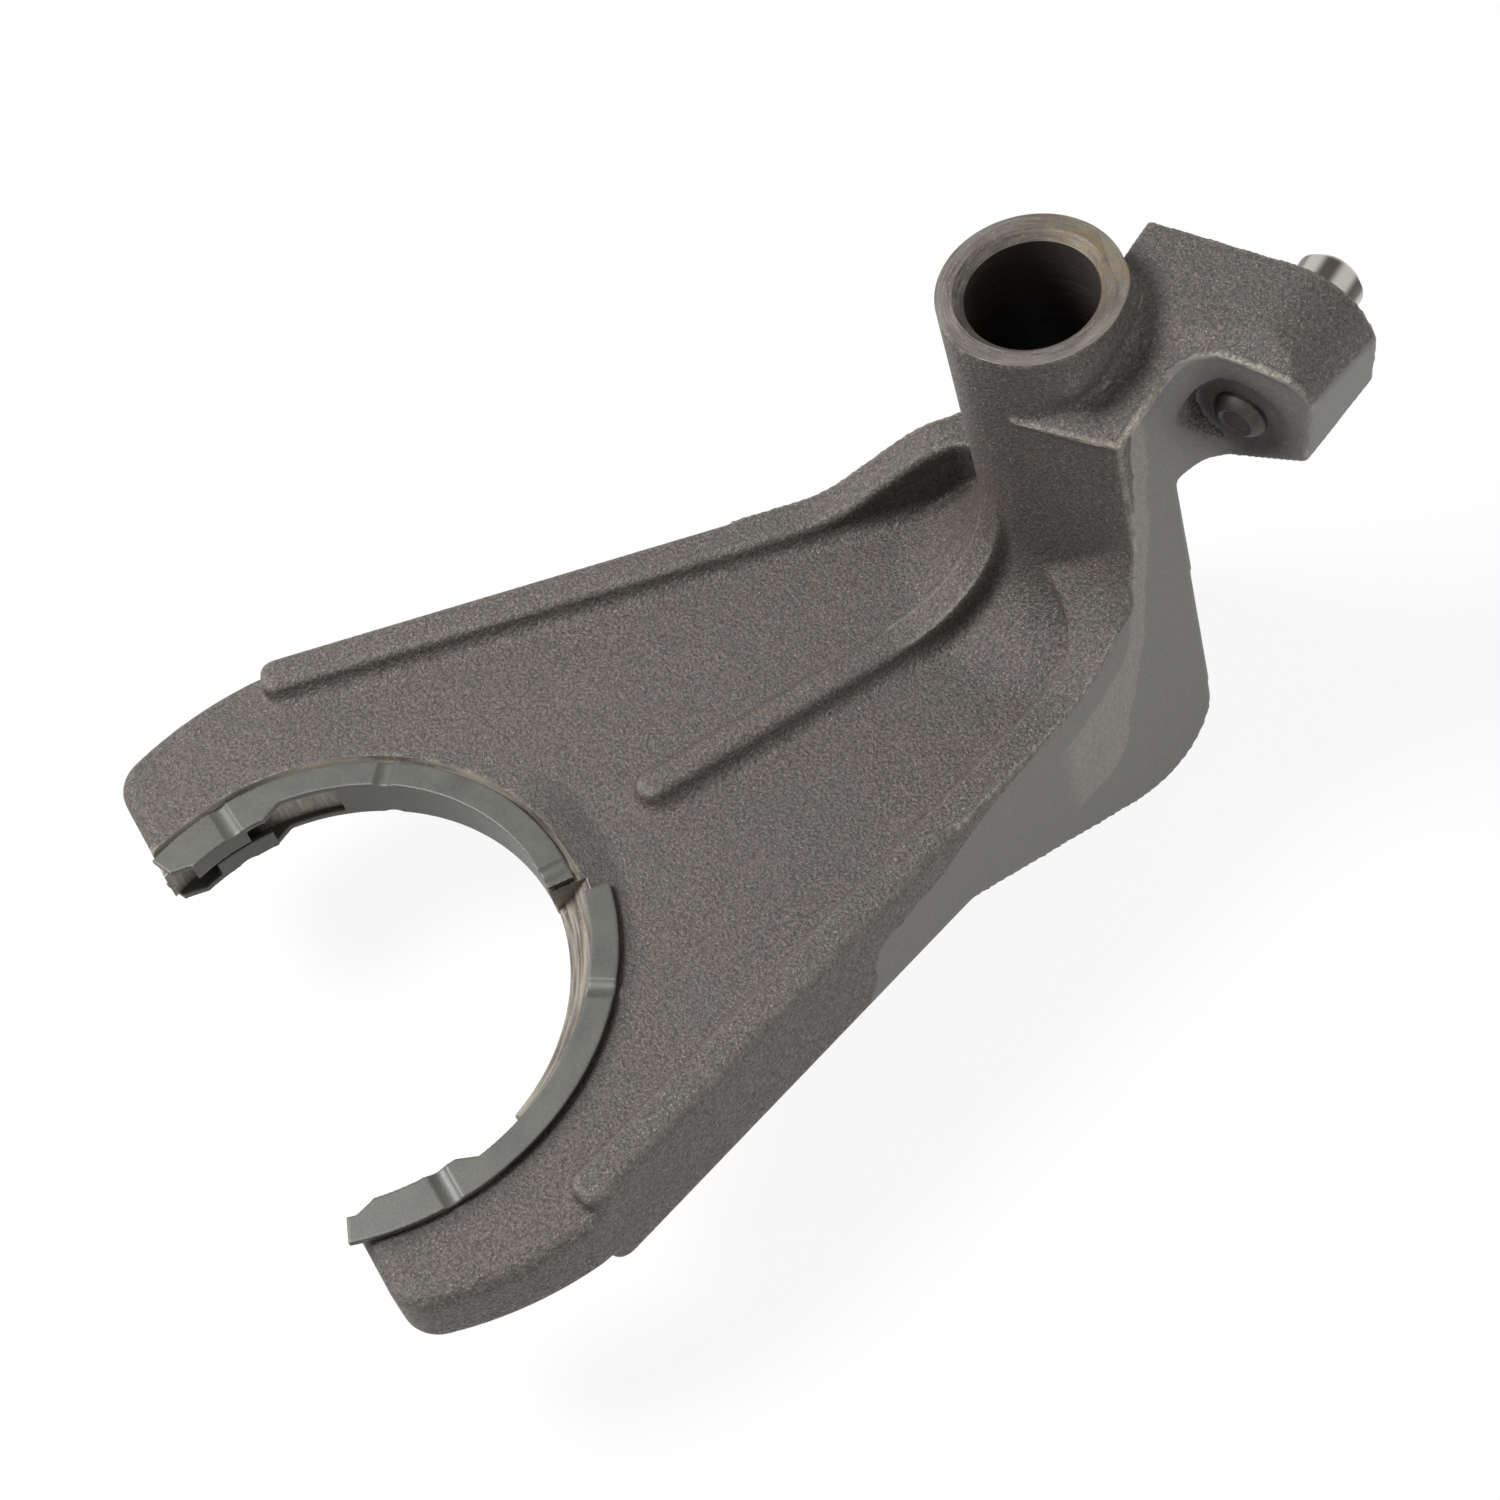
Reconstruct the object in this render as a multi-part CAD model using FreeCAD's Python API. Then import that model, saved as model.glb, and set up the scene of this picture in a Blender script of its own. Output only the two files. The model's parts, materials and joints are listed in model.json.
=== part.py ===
import FreeCAD, Part
import math
import os

# Transfer case shift fork: one forged body with a pressed pin and two clip-on facings.
# Millimetres. Origin: rail bore axis, half way through the fork plate. +Z runs up the bore,
# -X points at the throat, and the arm with the pin is on the -Y side.

# Rail hub
RAIL_BORE_D = 22.3
HUB_D = 31.2
HUB_TOP_Z = 76.0
HUB_BOTTOM_Z = -34.0
BORE_CHAMFER = 1.6
HUB_EDGE_CHAMFER = 0.4

# Fork plate, with its two prongs and tapered sides
CENTRE_DISTANCE = 151.0
PLATE_T = 14.0
PLATE_EDGE_R = 3.0
SIDE_TAPER_DEG = 17.0
SIDE_AT_HUB = 24.8
BACK_EDGE_X = 9.7
BACK_EDGE_LEAN = 1.6
PRONG_OUTER_R = 66.8
PRONG_ARC_SHIFT = 10.0
FAR_PRONG_END = 15.0
ARM_PRONG_END = 17.2
PRONG_CORNER_R = 7.0

# Raised ribs, the same on both faces of the plate, and the sweep from the plate up to the hub
RIB_HEIGHT = 4.0
RIB_ROOT_R = 3.0
RIB_CROWN_R = 1.6
SIDE_RIB_W = 7.0
SIDE_RIB_START = 17.5
SIDE_CROWN_R = 1.5
SIDE_NOSE_R = 2.8
CENTRE_RIB_W = 6.0
CENTRE_RIB_START = 64.0
SWEEP_R = 19.0

# Side walls that carry the plate to the hub
WALL_BOTTOM_Z = -32.0
WALL_CORNER_R = 12.0
WALL_DROP_X = -49.0
WALL_DROP_DEG = 27.5
WALL_BELLY_R = 20.0
FAR_WALL_TOP_Z = 22.0
FAR_WALL_RISE_X = -33.2
FAR_WALL_LEVEL_X = -14.0
FAR_WALL_RISE_R = 20.0
WALL_WEB_T = 6.0
POCKET_CORNER_R = 12.5
ARM_POCKET_BACK_X = -12.8
FAR_POCKET_BACK_X = -7.0

# Tower on the arm side, from the side wall up to the arm
TOWER_FRONT_X = -1.0
TOWER_LEAN = 2.0
TOWER_SWEEP_R = 26.0
TOWER_TOP_Z = 62.0
TOWER_SLOPE_X = 0.40
TOWER_SLOPE_Y = 0.33

# Arm
ARM_T = 19.2
ARM_HUB_END = -26.0
ARM_CROWN_Z = 72.5
ARM_HUB_END_Z = 69.5
ARM_SHOULDER = 10.7
ARM_SHOULDER_DEG = 70.0
ARM_SHOULDER_R = 12.0
ARM_OUTER_END = 10.6
ARM_END_FLARE = 1.8
ARM_END_LEAN_DEG = 9.0
ARM_UNDER_Z = 42.0
ARM_UNDER_DEG = 23.0
ARM_UNDER_R = 17.0
ARM_NECK = -18.5
ARM_FOOT_Z = 19.0
ARM_BLEND_R = 9.0
SPOT_FACE_D = 17.0
SPOT_FACE_DEPTH = 0.6

# Pin pressed through the arm
PIN_ANGLE_DEG = 27.5
PIN_FACE_X = 19.9
PIN_FACE_Y = -26.5
PIN_Z = 54.2
PIN_SHANK_D = 9.0
PIN_HEAD_D = 11.9
PIN_LENGTH = 32.0
PIN_PEEN_PROUD = 2.4
PIN_PEEN_CHAMFER = 1.2
PIN_CHAMFER = 1.6
PIN_PRESS_GAP = 0.0

# Throat: angles are about its centre, from the direction of the hub, positive on the far side
LIP_R = 40.1
LAND_W = 6.7
LAND_INNER_Z = 0.8
LAND_UNDER_Z = -4.0
LAND_END_DEG = -68.0
SEAT_MARGIN = 2.1

# Clip-on facings
CLIP_SHEET = 1.2
CLIP_GAP = 0.05
CLIP_EDGE_GAP = 0.2
CLIP_FLANGE_W = 4.9
CLIP_HEIGHT = 8.9
CLIP_END_GAP = 1.0
BULGE = 2.2
BULGE_HALF_W = 7.6
BULGE_RAMP = 3.5
GROOVE_W = 3.4
GROOVE_DEPTH = 0.5
TAB_HALF_W = 5.6
TAB_SHIFT = 2.0
TAB_SEAM = 0.5

FAR_CLIP_R = 39.8
FAR_CLIP_TOP_Z = 7.0
FAR_CLIP_START_DEG = -8.0
FAR_WEB_START_DEG = -5.5
FAR_WEB_END_DEG = 63.5
FAR_TAB_BACK = 11.5
FAR_GROOVES_DEG = [-4.0, 51.0, 92.0]

ARM_CLIP_R = 45.3
ARM_CLIP_STAND = 0.25
ARM_CLIP_START_DEG = 13.5
ARM_CLIP_OVERHANG = 0.8
ARM_CLIP_CUT_BACK = 3.0
ARM_WEB_START_DEG = 69.5
ARM_WEB_END_DEG = 81.5
ARM_TAB_BACK = 12.8
ARM_GROOVES_DEG = [37.5, 91.0]

V = FreeCAD.Vector
Z_AXIS = V(0, 0, 1)
HALF_T = PLATE_T / 2
RIB_TOP_Z = HALF_T + RIB_HEIGHT
HUB_R = HUB_D / 2
BORE_R = RAIL_BORE_D / 2
THROAT = V(-CENTRE_DISTANCE, 0, 0)
TAPER = math.radians(SIDE_TAPER_DEG)
FAR = 2.0 * CENTRE_DISTANCE
PIN_DIR = V(math.cos(math.radians(PIN_ANGLE_DEG)), math.sin(math.radians(PIN_ANGLE_DEG)), 0)
ARM_DIR = V(PIN_DIR.y, -PIN_DIR.x, 0)
PIN_FACE = V(PIN_FACE_X, PIN_FACE_Y, 0)


def side_y(x):
    """Half width of the tapered plate at x."""
    return SIDE_AT_HUB - math.tan(TAPER) * x


def on_side(side, x, z=0.0):
    """Point on a tapered side, far (1) or arm (-1), at x and z."""
    return V(x, side * side_y(x), z)


def inward(side):
    """Direction square to a tapered side, into the plate."""
    return V(-math.sin(TAPER), -side * math.cos(TAPER), 0)


def unit(v):
    """The same direction with a length of one."""
    return v * (1.0 / v.Length)


def crossing(a, along_a, b, along_b):
    """Point in plan where a line through a meets a line through b."""
    gap = b - a
    reach = (gap.x * along_b.y - gap.y * along_b.x) / (along_a.x * along_b.y - along_a.y * along_b.x)
    return a + along_a * reach


def face(corners):
    """Flat face from corner points. A corner given as (point, radius) is rounded."""
    corners = [c if isinstance(c, tuple) else (c, 0.0) for c in corners]
    edges = []
    start = None
    for i, (point, radius) in enumerate(corners):
        to_last = unit(corners[i - 1][0] - point)
        to_next = unit(corners[(i + 1) % len(corners)][0] - point)
        half = to_last.getAngle(to_next) / 2
        run = radius / math.tan(half)
        a, b = point + to_last * run, point + to_next * run
        if i == 0:
            start = a
        elif (a - end).Length > 1e-6:
            edges.append(Part.LineSegment(end, a).toShape())
        if radius:
            bisector = unit(to_last + to_next)
            mid = point + bisector * (radius / math.sin(half) - radius)
            edges.append(Part.Arc(a, mid, b).toShape())
        end = b
    if (start - end).Length > 1e-6:
        edges.append(Part.LineSegment(end, start).toShape())
    return Part.Face(Part.Wire(edges))


def prism(corners, direction):
    """Solid from a cornered outline, pushed along a direction."""
    return face(corners).extrude(direction)


def turned(corners):
    """Solid from a cornered outline in the XZ plane, turned about Z."""
    return face(corners).revolve(V(), Z_AXIS, 360)


def sector(corners, start_deg, end_deg):
    """Solid from an outline of (radius, height) pairs, turned about the throat between two angles."""
    solid = face([V(r, 0, z) for r, z in corners]).revolve(V(), Z_AXIS, end_deg - start_deg)
    solid.rotate(V(), Z_AXIS, start_deg)
    solid.translate(THROAT)
    return solid


def ring(inner_r, outer_r, z0, z1, start_deg, end_deg):
    """Sector of a flat ring about the throat."""
    return sector([(inner_r, z0), (outer_r, z0), (outer_r, z1), (inner_r, z1)], start_deg, end_deg)


def fuse(shapes):
    """Join solids into one, with merged faces."""
    return shapes[0].fuse(shapes[1:]).removeSplitter()


def mirrored_down(shapes):
    """Copies of the shapes on the plate's other face."""
    return [s.mirror(V(), Z_AXIS) for s in shapes]


def is_upright(edge):
    """True for a straight edge along Z."""
    box = edge.BoundBox
    return box.XLength < 1e-3 and box.YLength < 1e-3


def prong_tip(side):
    """Corner where a prong's end meets its outer arc, before it is rounded."""
    reach = PRONG_ARC_SHIFT + (FAR_PRONG_END if side > 0 else ARM_PRONG_END)
    return THROAT + V(PRONG_ARC_SHIFT - reach, side * math.sqrt(PRONG_OUTER_R ** 2 - reach ** 2), 0)


def prongs():
    """Round end of the plate: one arc outside, a straight cut across the prong ends."""
    low = V(0, 0, -HALF_T)
    arm_tip, far_tip = prong_tip(-1) + low, prong_tip(1) + low
    crest = THROAT + V(PRONG_ARC_SHIFT + PRONG_OUTER_R, 0, 0) + low
    edges = [Part.LineSegment(arm_tip, far_tip).toShape(), Part.Arc(far_tip, crest, arm_tip).toShape()]
    disc = Part.Face(Part.Wire(edges)).extrude(V(0, 0, PLATE_T))
    disc = disc.makeFillet(PRONG_CORNER_R, [e for e in disc.Edges if is_upright(e)])
    rims = [e for e in disc.Edges if e.BoundBox.ZLength < 1e-3]
    disc = disc.makeFillet(PLATE_EDGE_R, rims)
    between = [on_side(-1, -FAR, -HALF_T), on_side(-1, 0, -HALF_T), on_side(1, 0, -HALF_T),
               on_side(1, -FAR, -HALF_T)]
    return disc.common(prism(between, V(0, 0, PLATE_T)))


def field():
    """Flat of the plate between the side ribs, from the prongs to the back edge."""
    x0 = -CENTRE_DISTANCE + SIDE_RIB_START + SIDE_CROWN_R
    x1 = BACK_EDGE_X - BACK_EDGE_LEAN
    edge = V(0, SIDE_RIB_W / 2, -HALF_T)
    other = V(0, -SIDE_RIB_W / 2, -HALF_T)
    corners = [on_side(-1, x0) + edge, on_side(-1, x1) + edge, on_side(1, x1) + other, on_side(1, x0) + other]
    return prism(corners, V(0, 0, PLATE_T))


def centre_rib():
    """Rib along the middle of the plate: rounded start, flared roots, and a rise up the hub's sweep."""
    half_w = CENTRE_RIB_W / 2
    start = V(-CENTRE_DISTANCE + CENTRE_RIB_START, 0, HALF_T)
    run = -HUB_R - start.x
    half = face([V(0, 0, -1), V(0, 0, RIB_HEIGHT), (V(half_w, 0, RIB_HEIGHT), RIB_CROWN_R),
                 (V(half_w, 0, 0), RIB_ROOT_R), V(half_w + RIB_ROOT_R, 0, 0), V(half_w + RIB_ROOT_R, 0, -1)])
    nose = half.revolve(V(), Z_AXIS, 360)
    flanks = []
    for turn in (-90, 90):
        flank = half.copy()
        flank.rotate(V(), Z_AXIS, turn)
        flanks.append(flank.extrude(V(run, 0, 0)))
    bar = nose.fuse(flanks)
    bar.translate(start)
    r = SWEEP_R + RIB_HEIGHT
    rise = prism([V(-HUB_R - r, -half_w, 0), V(-HUB_R - r, -half_w, RIB_TOP_Z),
                  (V(-HUB_R, -half_w, RIB_TOP_Z), r), V(-HUB_R, -half_w, RIB_TOP_Z + r),
                  V(-HUB_R / 2, -half_w, RIB_TOP_Z + r), V(-HUB_R / 2, -half_w, 0)], V(0, CENTRE_RIB_W, 0))
    return bar.fuse(rise)


def side_root(side):
    """Concave root along the inside of a side rib."""
    x0 = -CENTRE_DISTANCE + SIDE_RIB_START + SIDE_CROWN_R
    run = on_side(side, 0) - on_side(side, x0)
    foot = on_side(side, x0, HALF_T) + inward(side) * SIDE_RIB_W
    out = inward(side) * RIB_ROOT_R
    back = inward(side) * -1.0
    up = V(0, 0, RIB_ROOT_R)
    down = V(0, 0, -1)
    return prism([foot + back + down, foot + back + up, foot + up, (foot, RIB_ROOT_R), foot + out,
                  foot + out + down], run)


def hub():
    """Long rail hub with a concave sweep into the plate on both faces, kept between the side walls."""
    reach = HUB_R + SWEEP_R
    edge = HUB_EDGE_CHAMFER
    high = HALF_T + SWEEP_R
    sweep = turned([V(0, 0, -high), V(HUB_R, 0, -high), (V(HUB_R, 0, -HALF_T), SWEEP_R), V(reach, 0, -HALF_T),
                    V(reach, 0, HALF_T), (V(HUB_R, 0, HALF_T), SWEEP_R), V(HUB_R, 0, high), V(0, 0, high)])
    x0 = -CENTRE_DISTANCE / 2
    x1 = BACK_EDGE_X - BACK_EDGE_LEAN
    low = V(0, 0, HUB_BOTTOM_Z)
    keep = prism([on_side(-1, x0) + inward(-1) + low, on_side(-1, x1) + inward(-1) + low,
                  on_side(1, x1) + inward(1) + low, on_side(1, x0) + inward(1) + low],
                 V(0, 0, HUB_TOP_Z - HUB_BOTTOM_Z))
    tube = turned([V(0, 0, HUB_BOTTOM_Z), V(HUB_R - edge, 0, HUB_BOTTOM_Z), V(HUB_R, 0, HUB_BOTTOM_Z + edge),
                   V(HUB_R, 0, HUB_TOP_Z - edge), V(HUB_R - edge, 0, HUB_TOP_Z), V(0, 0, HUB_TOP_Z)])
    return sweep.common(keep).fuse(tube)


def side_profile(side, top):
    """Outline of a side wall seen square to it: the rib's start, the given top, and the deep corner."""
    x0 = -CENTRE_DISTANCE + SIDE_RIB_START
    low_x = BACK_EDGE_X - BACK_EDGE_LEAN
    fall = (-RIB_TOP_Z - WALL_BOTTOM_Z) / math.tan(math.radians(WALL_DROP_DEG))
    return ([on_side(side, x0, -RIB_TOP_Z), on_side(side, x0, RIB_TOP_Z)] + top +
            [(on_side(side, low_x, WALL_BOTTOM_Z), WALL_CORNER_R),
             (on_side(side, WALL_DROP_X + fall, WALL_BOTTOM_Z), WALL_BELLY_R),
             on_side(side, WALL_DROP_X, -RIB_TOP_Z)])


def behind_wall(side, top, plan):
    """Block behind a side wall, as high as the wall's top, over a given plan."""
    block = prism(side_profile(side, top), inward(side) * (2.0 * SIDE_AT_HUB))
    return block.common(prism(plan, V(0, 0, HUB_TOP_Z)))


def side_wall(side, top, pocket_back_x):
    """Side rib and wall in one, with the web that carries the wall's top across to the hub."""
    wall = prism(side_profile(side, top), inward(side) * SIDE_RIB_W)
    x0 = -CENTRE_DISTANCE + SIDE_RIB_START
    nose = [e for e in wall.Edges if is_upright(e) and e.BoundBox.XMax < x0 + SIDE_RIB_W / 2]
    wall = wall.makeFillet(SIDE_NOSE_R, nose)
    crowns = [e for e in wall.Edges if e.BoundBox.ZLength < 1e-3 and e.BoundBox.XLength > SIDE_RIB_W
              and abs(abs(e.BoundBox.Center.z) - RIB_TOP_Z) < 1e-3]
    wall = wall.makeFillet(SIDE_CROWN_R, crowns)
    along = V(math.cos(TAPER), -side * math.sin(TAPER), 0)
    inner = inward(side) * WALL_WEB_T
    corner = crossing(on_side(side, 0) + inner, along, V(pocket_back_x, 0, 0), V(0, 1, 0))
    web = behind_wall(side, top, [on_side(side, WALL_DROP_X), on_side(side, WALL_DROP_X) + inner,
                                  (corner, POCKET_CORNER_R), V(pocket_back_x, 0, 0), V(HUB_R, 0, 0),
                                  on_side(side, HUB_R)])
    return wall.fuse(web)


def far_wall():
    """Side wall away from the arm: its top climbs a little towards the hub."""
    top = [(on_side(1, FAR_WALL_RISE_X, RIB_TOP_Z), FAR_WALL_RISE_R),
           (on_side(1, FAR_WALL_LEVEL_X, FAR_WALL_TOP_Z), FAR_WALL_RISE_R),
           on_side(1, BACK_EDGE_X, FAR_WALL_TOP_Z)]
    return side_wall(1, top, FAR_POCKET_BACK_X)


def arm_wall():
    """Side wall on the arm side, which sweeps up into the tower, and the tower that fills in to the hub."""
    top = [(on_side(-1, TOWER_FRONT_X - TOWER_LEAN, RIB_TOP_Z), TOWER_SWEEP_R),
           on_side(-1, TOWER_FRONT_X, ARM_CROWN_Z),
           on_side(-1, BACK_EDGE_X, ARM_CROWN_Z)]
    corner = on_side(-1, TOWER_FRONT_X)
    bearing = math.atan2(corner.y, corner.x) - math.acos(HUB_R / corner.Length)
    touch = V(HUB_R * math.cos(bearing), HUB_R * math.sin(bearing), 0)
    tower = prism([corner, touch, V(), V(HUB_R, 0, 0), on_side(-1, HUB_R)], V(0, 0, ARM_CROWN_Z))
    end = prism(side_profile(-1, [on_side(-1, TOWER_FRONT_X - HUB_D, RIB_TOP_Z),
                                  on_side(-1, TOWER_FRONT_X - HUB_D, ARM_CROWN_Z)] + top[-1:]),
                inward(-1) * (2.0 * SIDE_AT_HUB))
    return side_wall(-1, top, ARM_POCKET_BACK_X).fuse(tower.common(end))


def arm_point(s, z, n=0.0):
    """Point s along the arm from the pin, n through it from the pin face, at height z."""
    return PIN_FACE + ARM_DIR * s + PIN_DIR * n + V(0, 0, z)


def arm_end_trim():
    """What lies outside the arm's end, where its flash was trimmed: it leans out upwards and flares."""
    up = V(0, 0, HUB_TOP_Z - ARM_UNDER_Z)
    lean = ARM_DIR * (up.z * math.tan(math.radians(ARM_END_LEAN_DEG)))
    far = ARM_OUTER_END + ARM_END_FLARE
    out = far + 2.0 * ARM_T
    return prism([arm_point(ARM_OUTER_END, ARM_UNDER_Z, -ARM_T), arm_point(ARM_OUTER_END, ARM_UNDER_Z),
                  arm_point(far, ARM_UNDER_Z, ARM_T), arm_point(far, ARM_UNDER_Z, 2.0 * ARM_T),
                  arm_point(out, ARM_UNDER_Z, 2.0 * ARM_T), arm_point(out, ARM_UNDER_Z, -ARM_T)], up + lean)


def arm():
    """Arm and tower top as one block, before the top is sloped."""
    fall = math.tan(math.radians(ARM_SHOULDER_DEG))
    rise = math.tan(math.radians(ARM_UNDER_DEG))
    lean = math.tan(math.radians(ARM_END_LEAN_DEG))
    far = ARM_OUTER_END + ARM_END_FLARE
    tip = (far + (ARM_CROWN_Z - ARM_UNDER_Z + ARM_SHOULDER * fall) * lean) / (1 + fall * lean) + ARM_END_FLARE
    low_end = ARM_NECK + ARM_UNDER_R
    side_view = [arm_point(ARM_HUB_END, ARM_FOOT_Z), arm_point(ARM_HUB_END, ARM_HUB_END_Z),
                 (arm_point(ARM_SHOULDER, ARM_CROWN_Z), ARM_SHOULDER_R),
                 arm_point(tip, ARM_CROWN_Z - (tip - ARM_SHOULDER) * fall),
                 arm_point(tip, ARM_UNDER_Z + (tip - low_end) * rise), arm_point(low_end, ARM_UNDER_Z),
                 (arm_point(ARM_NECK, ARM_UNDER_Z), ARM_UNDER_R),
                 arm_point(ARM_NECK, ARM_UNDER_Z - ARM_UNDER_R)]
    ahead = PIN_DIR * (2.0 * ARM_T)
    block = prism(side_view, ahead + PIN_DIR * ARM_T)
    block.translate(ahead * -1.0)
    wall_along = V(math.cos(TAPER), math.sin(TAPER), 0)
    inner_corner = crossing(on_side(-1, 0), wall_along, PIN_FACE, ARM_DIR)
    plan = [(inner_corner, ARM_BLEND_R), arm_point(2.0 * tip, 0), arm_point(2.0 * tip, 0, ARM_T),
            arm_point(ARM_HUB_END, 0, ARM_T), arm_point(ARM_HUB_END, 0), V(TOWER_FRONT_X, -HUB_R / 2, 0),
            on_side(-1, TOWER_FRONT_X)]
    return block.common(prism(plan, V(0, 0, HUB_TOP_Z))).cut(arm_end_trim())


def above_slope():
    """What lies above the tower's sloping top, near the hub."""
    box = Part.makeBox(FAR, FAR, FAR, V(-FAR / 2, -FAR / 2, 0))
    slope = FreeCAD.Rotation(Z_AXIS, V(-TOWER_SLOPE_X, -TOWER_SLOPE_Y, 1))
    box.Placement = FreeCAD.Placement(on_side(-1, 0, TOWER_TOP_Z), slope)
    return box.common(Part.makeBox(FAR, FAR, FAR, V(-HUB_D, -FAR / 2, HALF_T)))


def bore_cuts():
    """Rail bore with a chamfer at each mouth."""
    top = HUB_TOP_Z
    return [Part.makeCylinder(BORE_R, top - HUB_BOTTOM_Z, V(0, 0, HUB_BOTTOM_Z)),
            Part.makeCone(BORE_R + BORE_CHAMFER, BORE_R, BORE_CHAMFER, V(0, 0, HUB_BOTTOM_Z)),
            Part.makeCone(BORE_R, BORE_R + BORE_CHAMFER, BORE_CHAMFER, V(0, 0, top - BORE_CHAMFER))]


def pin_cuts():
    """Hole for the pin's shank, with a spot face round its peened end."""
    start = arm_point(0, PIN_Z, -ARM_T / 2)
    hole = Part.makeCylinder(PIN_SHANK_D / 2 + PIN_PRESS_GAP, 2 * ARM_T, start, PIN_DIR)
    spot = Part.makeCylinder(SPOT_FACE_D / 2, ARM_T, arm_point(0, PIN_Z, SPOT_FACE_DEPTH), PIN_DIR * -1)
    return [hole, spot]


def throat_cuts():
    """The throat, its raw land and the seats of both facings."""
    deep = PLATE_T
    bore_in = LIP_R / 2
    land_r = LIP_R + LAND_W
    slope = (HALF_T - LAND_INNER_Z) / LAND_W
    over = land_r + PLATE_EDGE_R
    start = FAR_CLIP_START_DEG - math.degrees(CLIP_END_GAP / FAR_CLIP_R)
    far_r = FAR_CLIP_R + CLIP_SHEET + CLIP_GAP
    far_top = FAR_CLIP_TOP_Z - CLIP_SHEET - CLIP_GAP
    far_low = FAR_CLIP_TOP_Z - CLIP_HEIGHT + CLIP_SHEET + CLIP_GAP
    far_out = FAR_CLIP_R + CLIP_FLANGE_W + CLIP_EDGE_GAP
    seat_r = FAR_CLIP_R + CLIP_FLANGE_W + SEAT_MARGIN
    arm_r = ARM_CLIP_R + CLIP_SHEET + CLIP_GAP
    arm_low = HALF_T + ARM_CLIP_STAND + 2 * CLIP_SHEET - CLIP_HEIGHT + CLIP_GAP
    arm_out = ARM_CLIP_R + CLIP_FLANGE_W + CLIP_EDGE_GAP
    lip = Part.makeCylinder(LIP_R, 2 * deep, THROAT - V(0, 0, deep))
    land = sector([(bore_in, HALF_T - (land_r - bore_in) * slope), (over, HALF_T + (over - land_r) * slope),
                   (over, 2 * deep), (bore_in, 2 * deep)], LAND_END_DEG, start)
    under = ring(bore_in, land_r, -deep, LAND_UNDER_Z, LAND_END_DEG, start)
    far_seat = sector([(bore_in, -deep), (seat_r, -deep), (seat_r, far_low), (far_r, far_low),
                       (far_r, far_top), (far_out, far_top), (seat_r, HALF_T), (over, 2 * deep),
                       (bore_in, 2 * deep)], start, 180)
    arm_seat = sector([(bore_in, -deep), (arm_out, -deep), (arm_out, arm_low), (arm_r, arm_low),
                       (arm_r, deep), (bore_in, deep)], -180, LAND_END_DEG)
    return [lip, land, under, far_seat, arm_seat]


def body():
    """The one forged and machined piece."""
    ribs = [centre_rib(), side_root(1), side_root(-1)]
    high_side = fuse([arm(), arm_wall()]).cut(above_slope())
    forging = fuse([prongs(), field(), far_wall(), high_side, hub()] + ribs + mirrored_down(ribs))
    return forging.cut(bore_cuts() + pin_cuts() + throat_cuts())


def pin():
    """Stepped pin: peened shank end on the face side, larger turned head on the other."""
    shank = PIN_SHANK_D / 2
    head = PIN_HEAD_D / 2
    near = SPOT_FACE_DEPTH - PIN_PEEN_PROUD
    solid = turned([V(0, 0, near), V(shank - PIN_PEEN_CHAMFER, 0, near), V(shank, 0, near + PIN_PEEN_CHAMFER),
                    V(shank, 0, ARM_T), V(head, 0, ARM_T), V(head, 0, PIN_LENGTH - PIN_CHAMFER),
                    V(head - PIN_CHAMFER, 0, PIN_LENGTH), V(0, 0, PIN_LENGTH)])
    solid.Placement = FreeCAD.Placement(arm_point(0, PIN_Z), FreeCAD.Rotation(Z_AXIS, PIN_DIR))
    return solid


def throat_point(r, deg, z):
    """Point at a radius and angle about the throat's centre."""
    return THROAT + V(r * math.cos(math.radians(deg)), r * math.sin(math.radians(deg)), z)


def tip_angle(r, side):
    """Angle about the throat at which radius r reaches a prong's end."""
    reach = FAR_PRONG_END if side > 0 else ARM_PRONG_END
    return 90.0 + math.degrees(math.asin(reach / r))


def flange(radius, z, start_deg, end_deg, tab_deg):
    """Flat flange of a facing, bulged inwards at its tab."""
    sheet = ring(radius, radius + CLIP_FLANGE_W, z, z + CLIP_SHEET, start_deg, end_deg)
    half = math.degrees(BULGE_HALF_W / radius)
    ramp = half + math.degrees(BULGE_RAMP / radius)
    root = radius + CLIP_SHEET / 2
    inner = radius - BULGE

    def at(r, turn):
        return throat_point(r, tab_deg + turn, z)

    edges = [Part.LineSegment(at(root, -ramp), at(radius, -ramp)).toShape(),
             Part.LineSegment(at(radius, -ramp), at(inner, -half)).toShape(),
             Part.Arc(at(inner, -half), at(inner, 0), at(inner, half)).toShape(),
             Part.LineSegment(at(inner, half), at(radius, ramp)).toShape(),
             Part.LineSegment(at(radius, ramp), at(root, ramp)).toShape(),
             Part.Arc(at(root, ramp), at(root, 0), at(root, -ramp)).toShape()]
    return sheet.fuse(Part.Face(Part.Wire(edges)).extrude(V(0, 0, CLIP_SHEET)))


def groove(radius, deg, z, outside):
    """Round rod that presses a shallow cross groove into a flange from above (1) or below (-1)."""
    r = GROOVE_W ** 2 / (8 * GROOVE_DEPTH) + GROOVE_DEPTH / 2
    low = throat_point(radius - CLIP_FLANGE_W, deg, z + outside * (r - GROOVE_DEPTH))
    return Part.makeCylinder(r, 3 * CLIP_FLANGE_W, low, throat_point(1, deg, 0) - THROAT)


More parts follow.
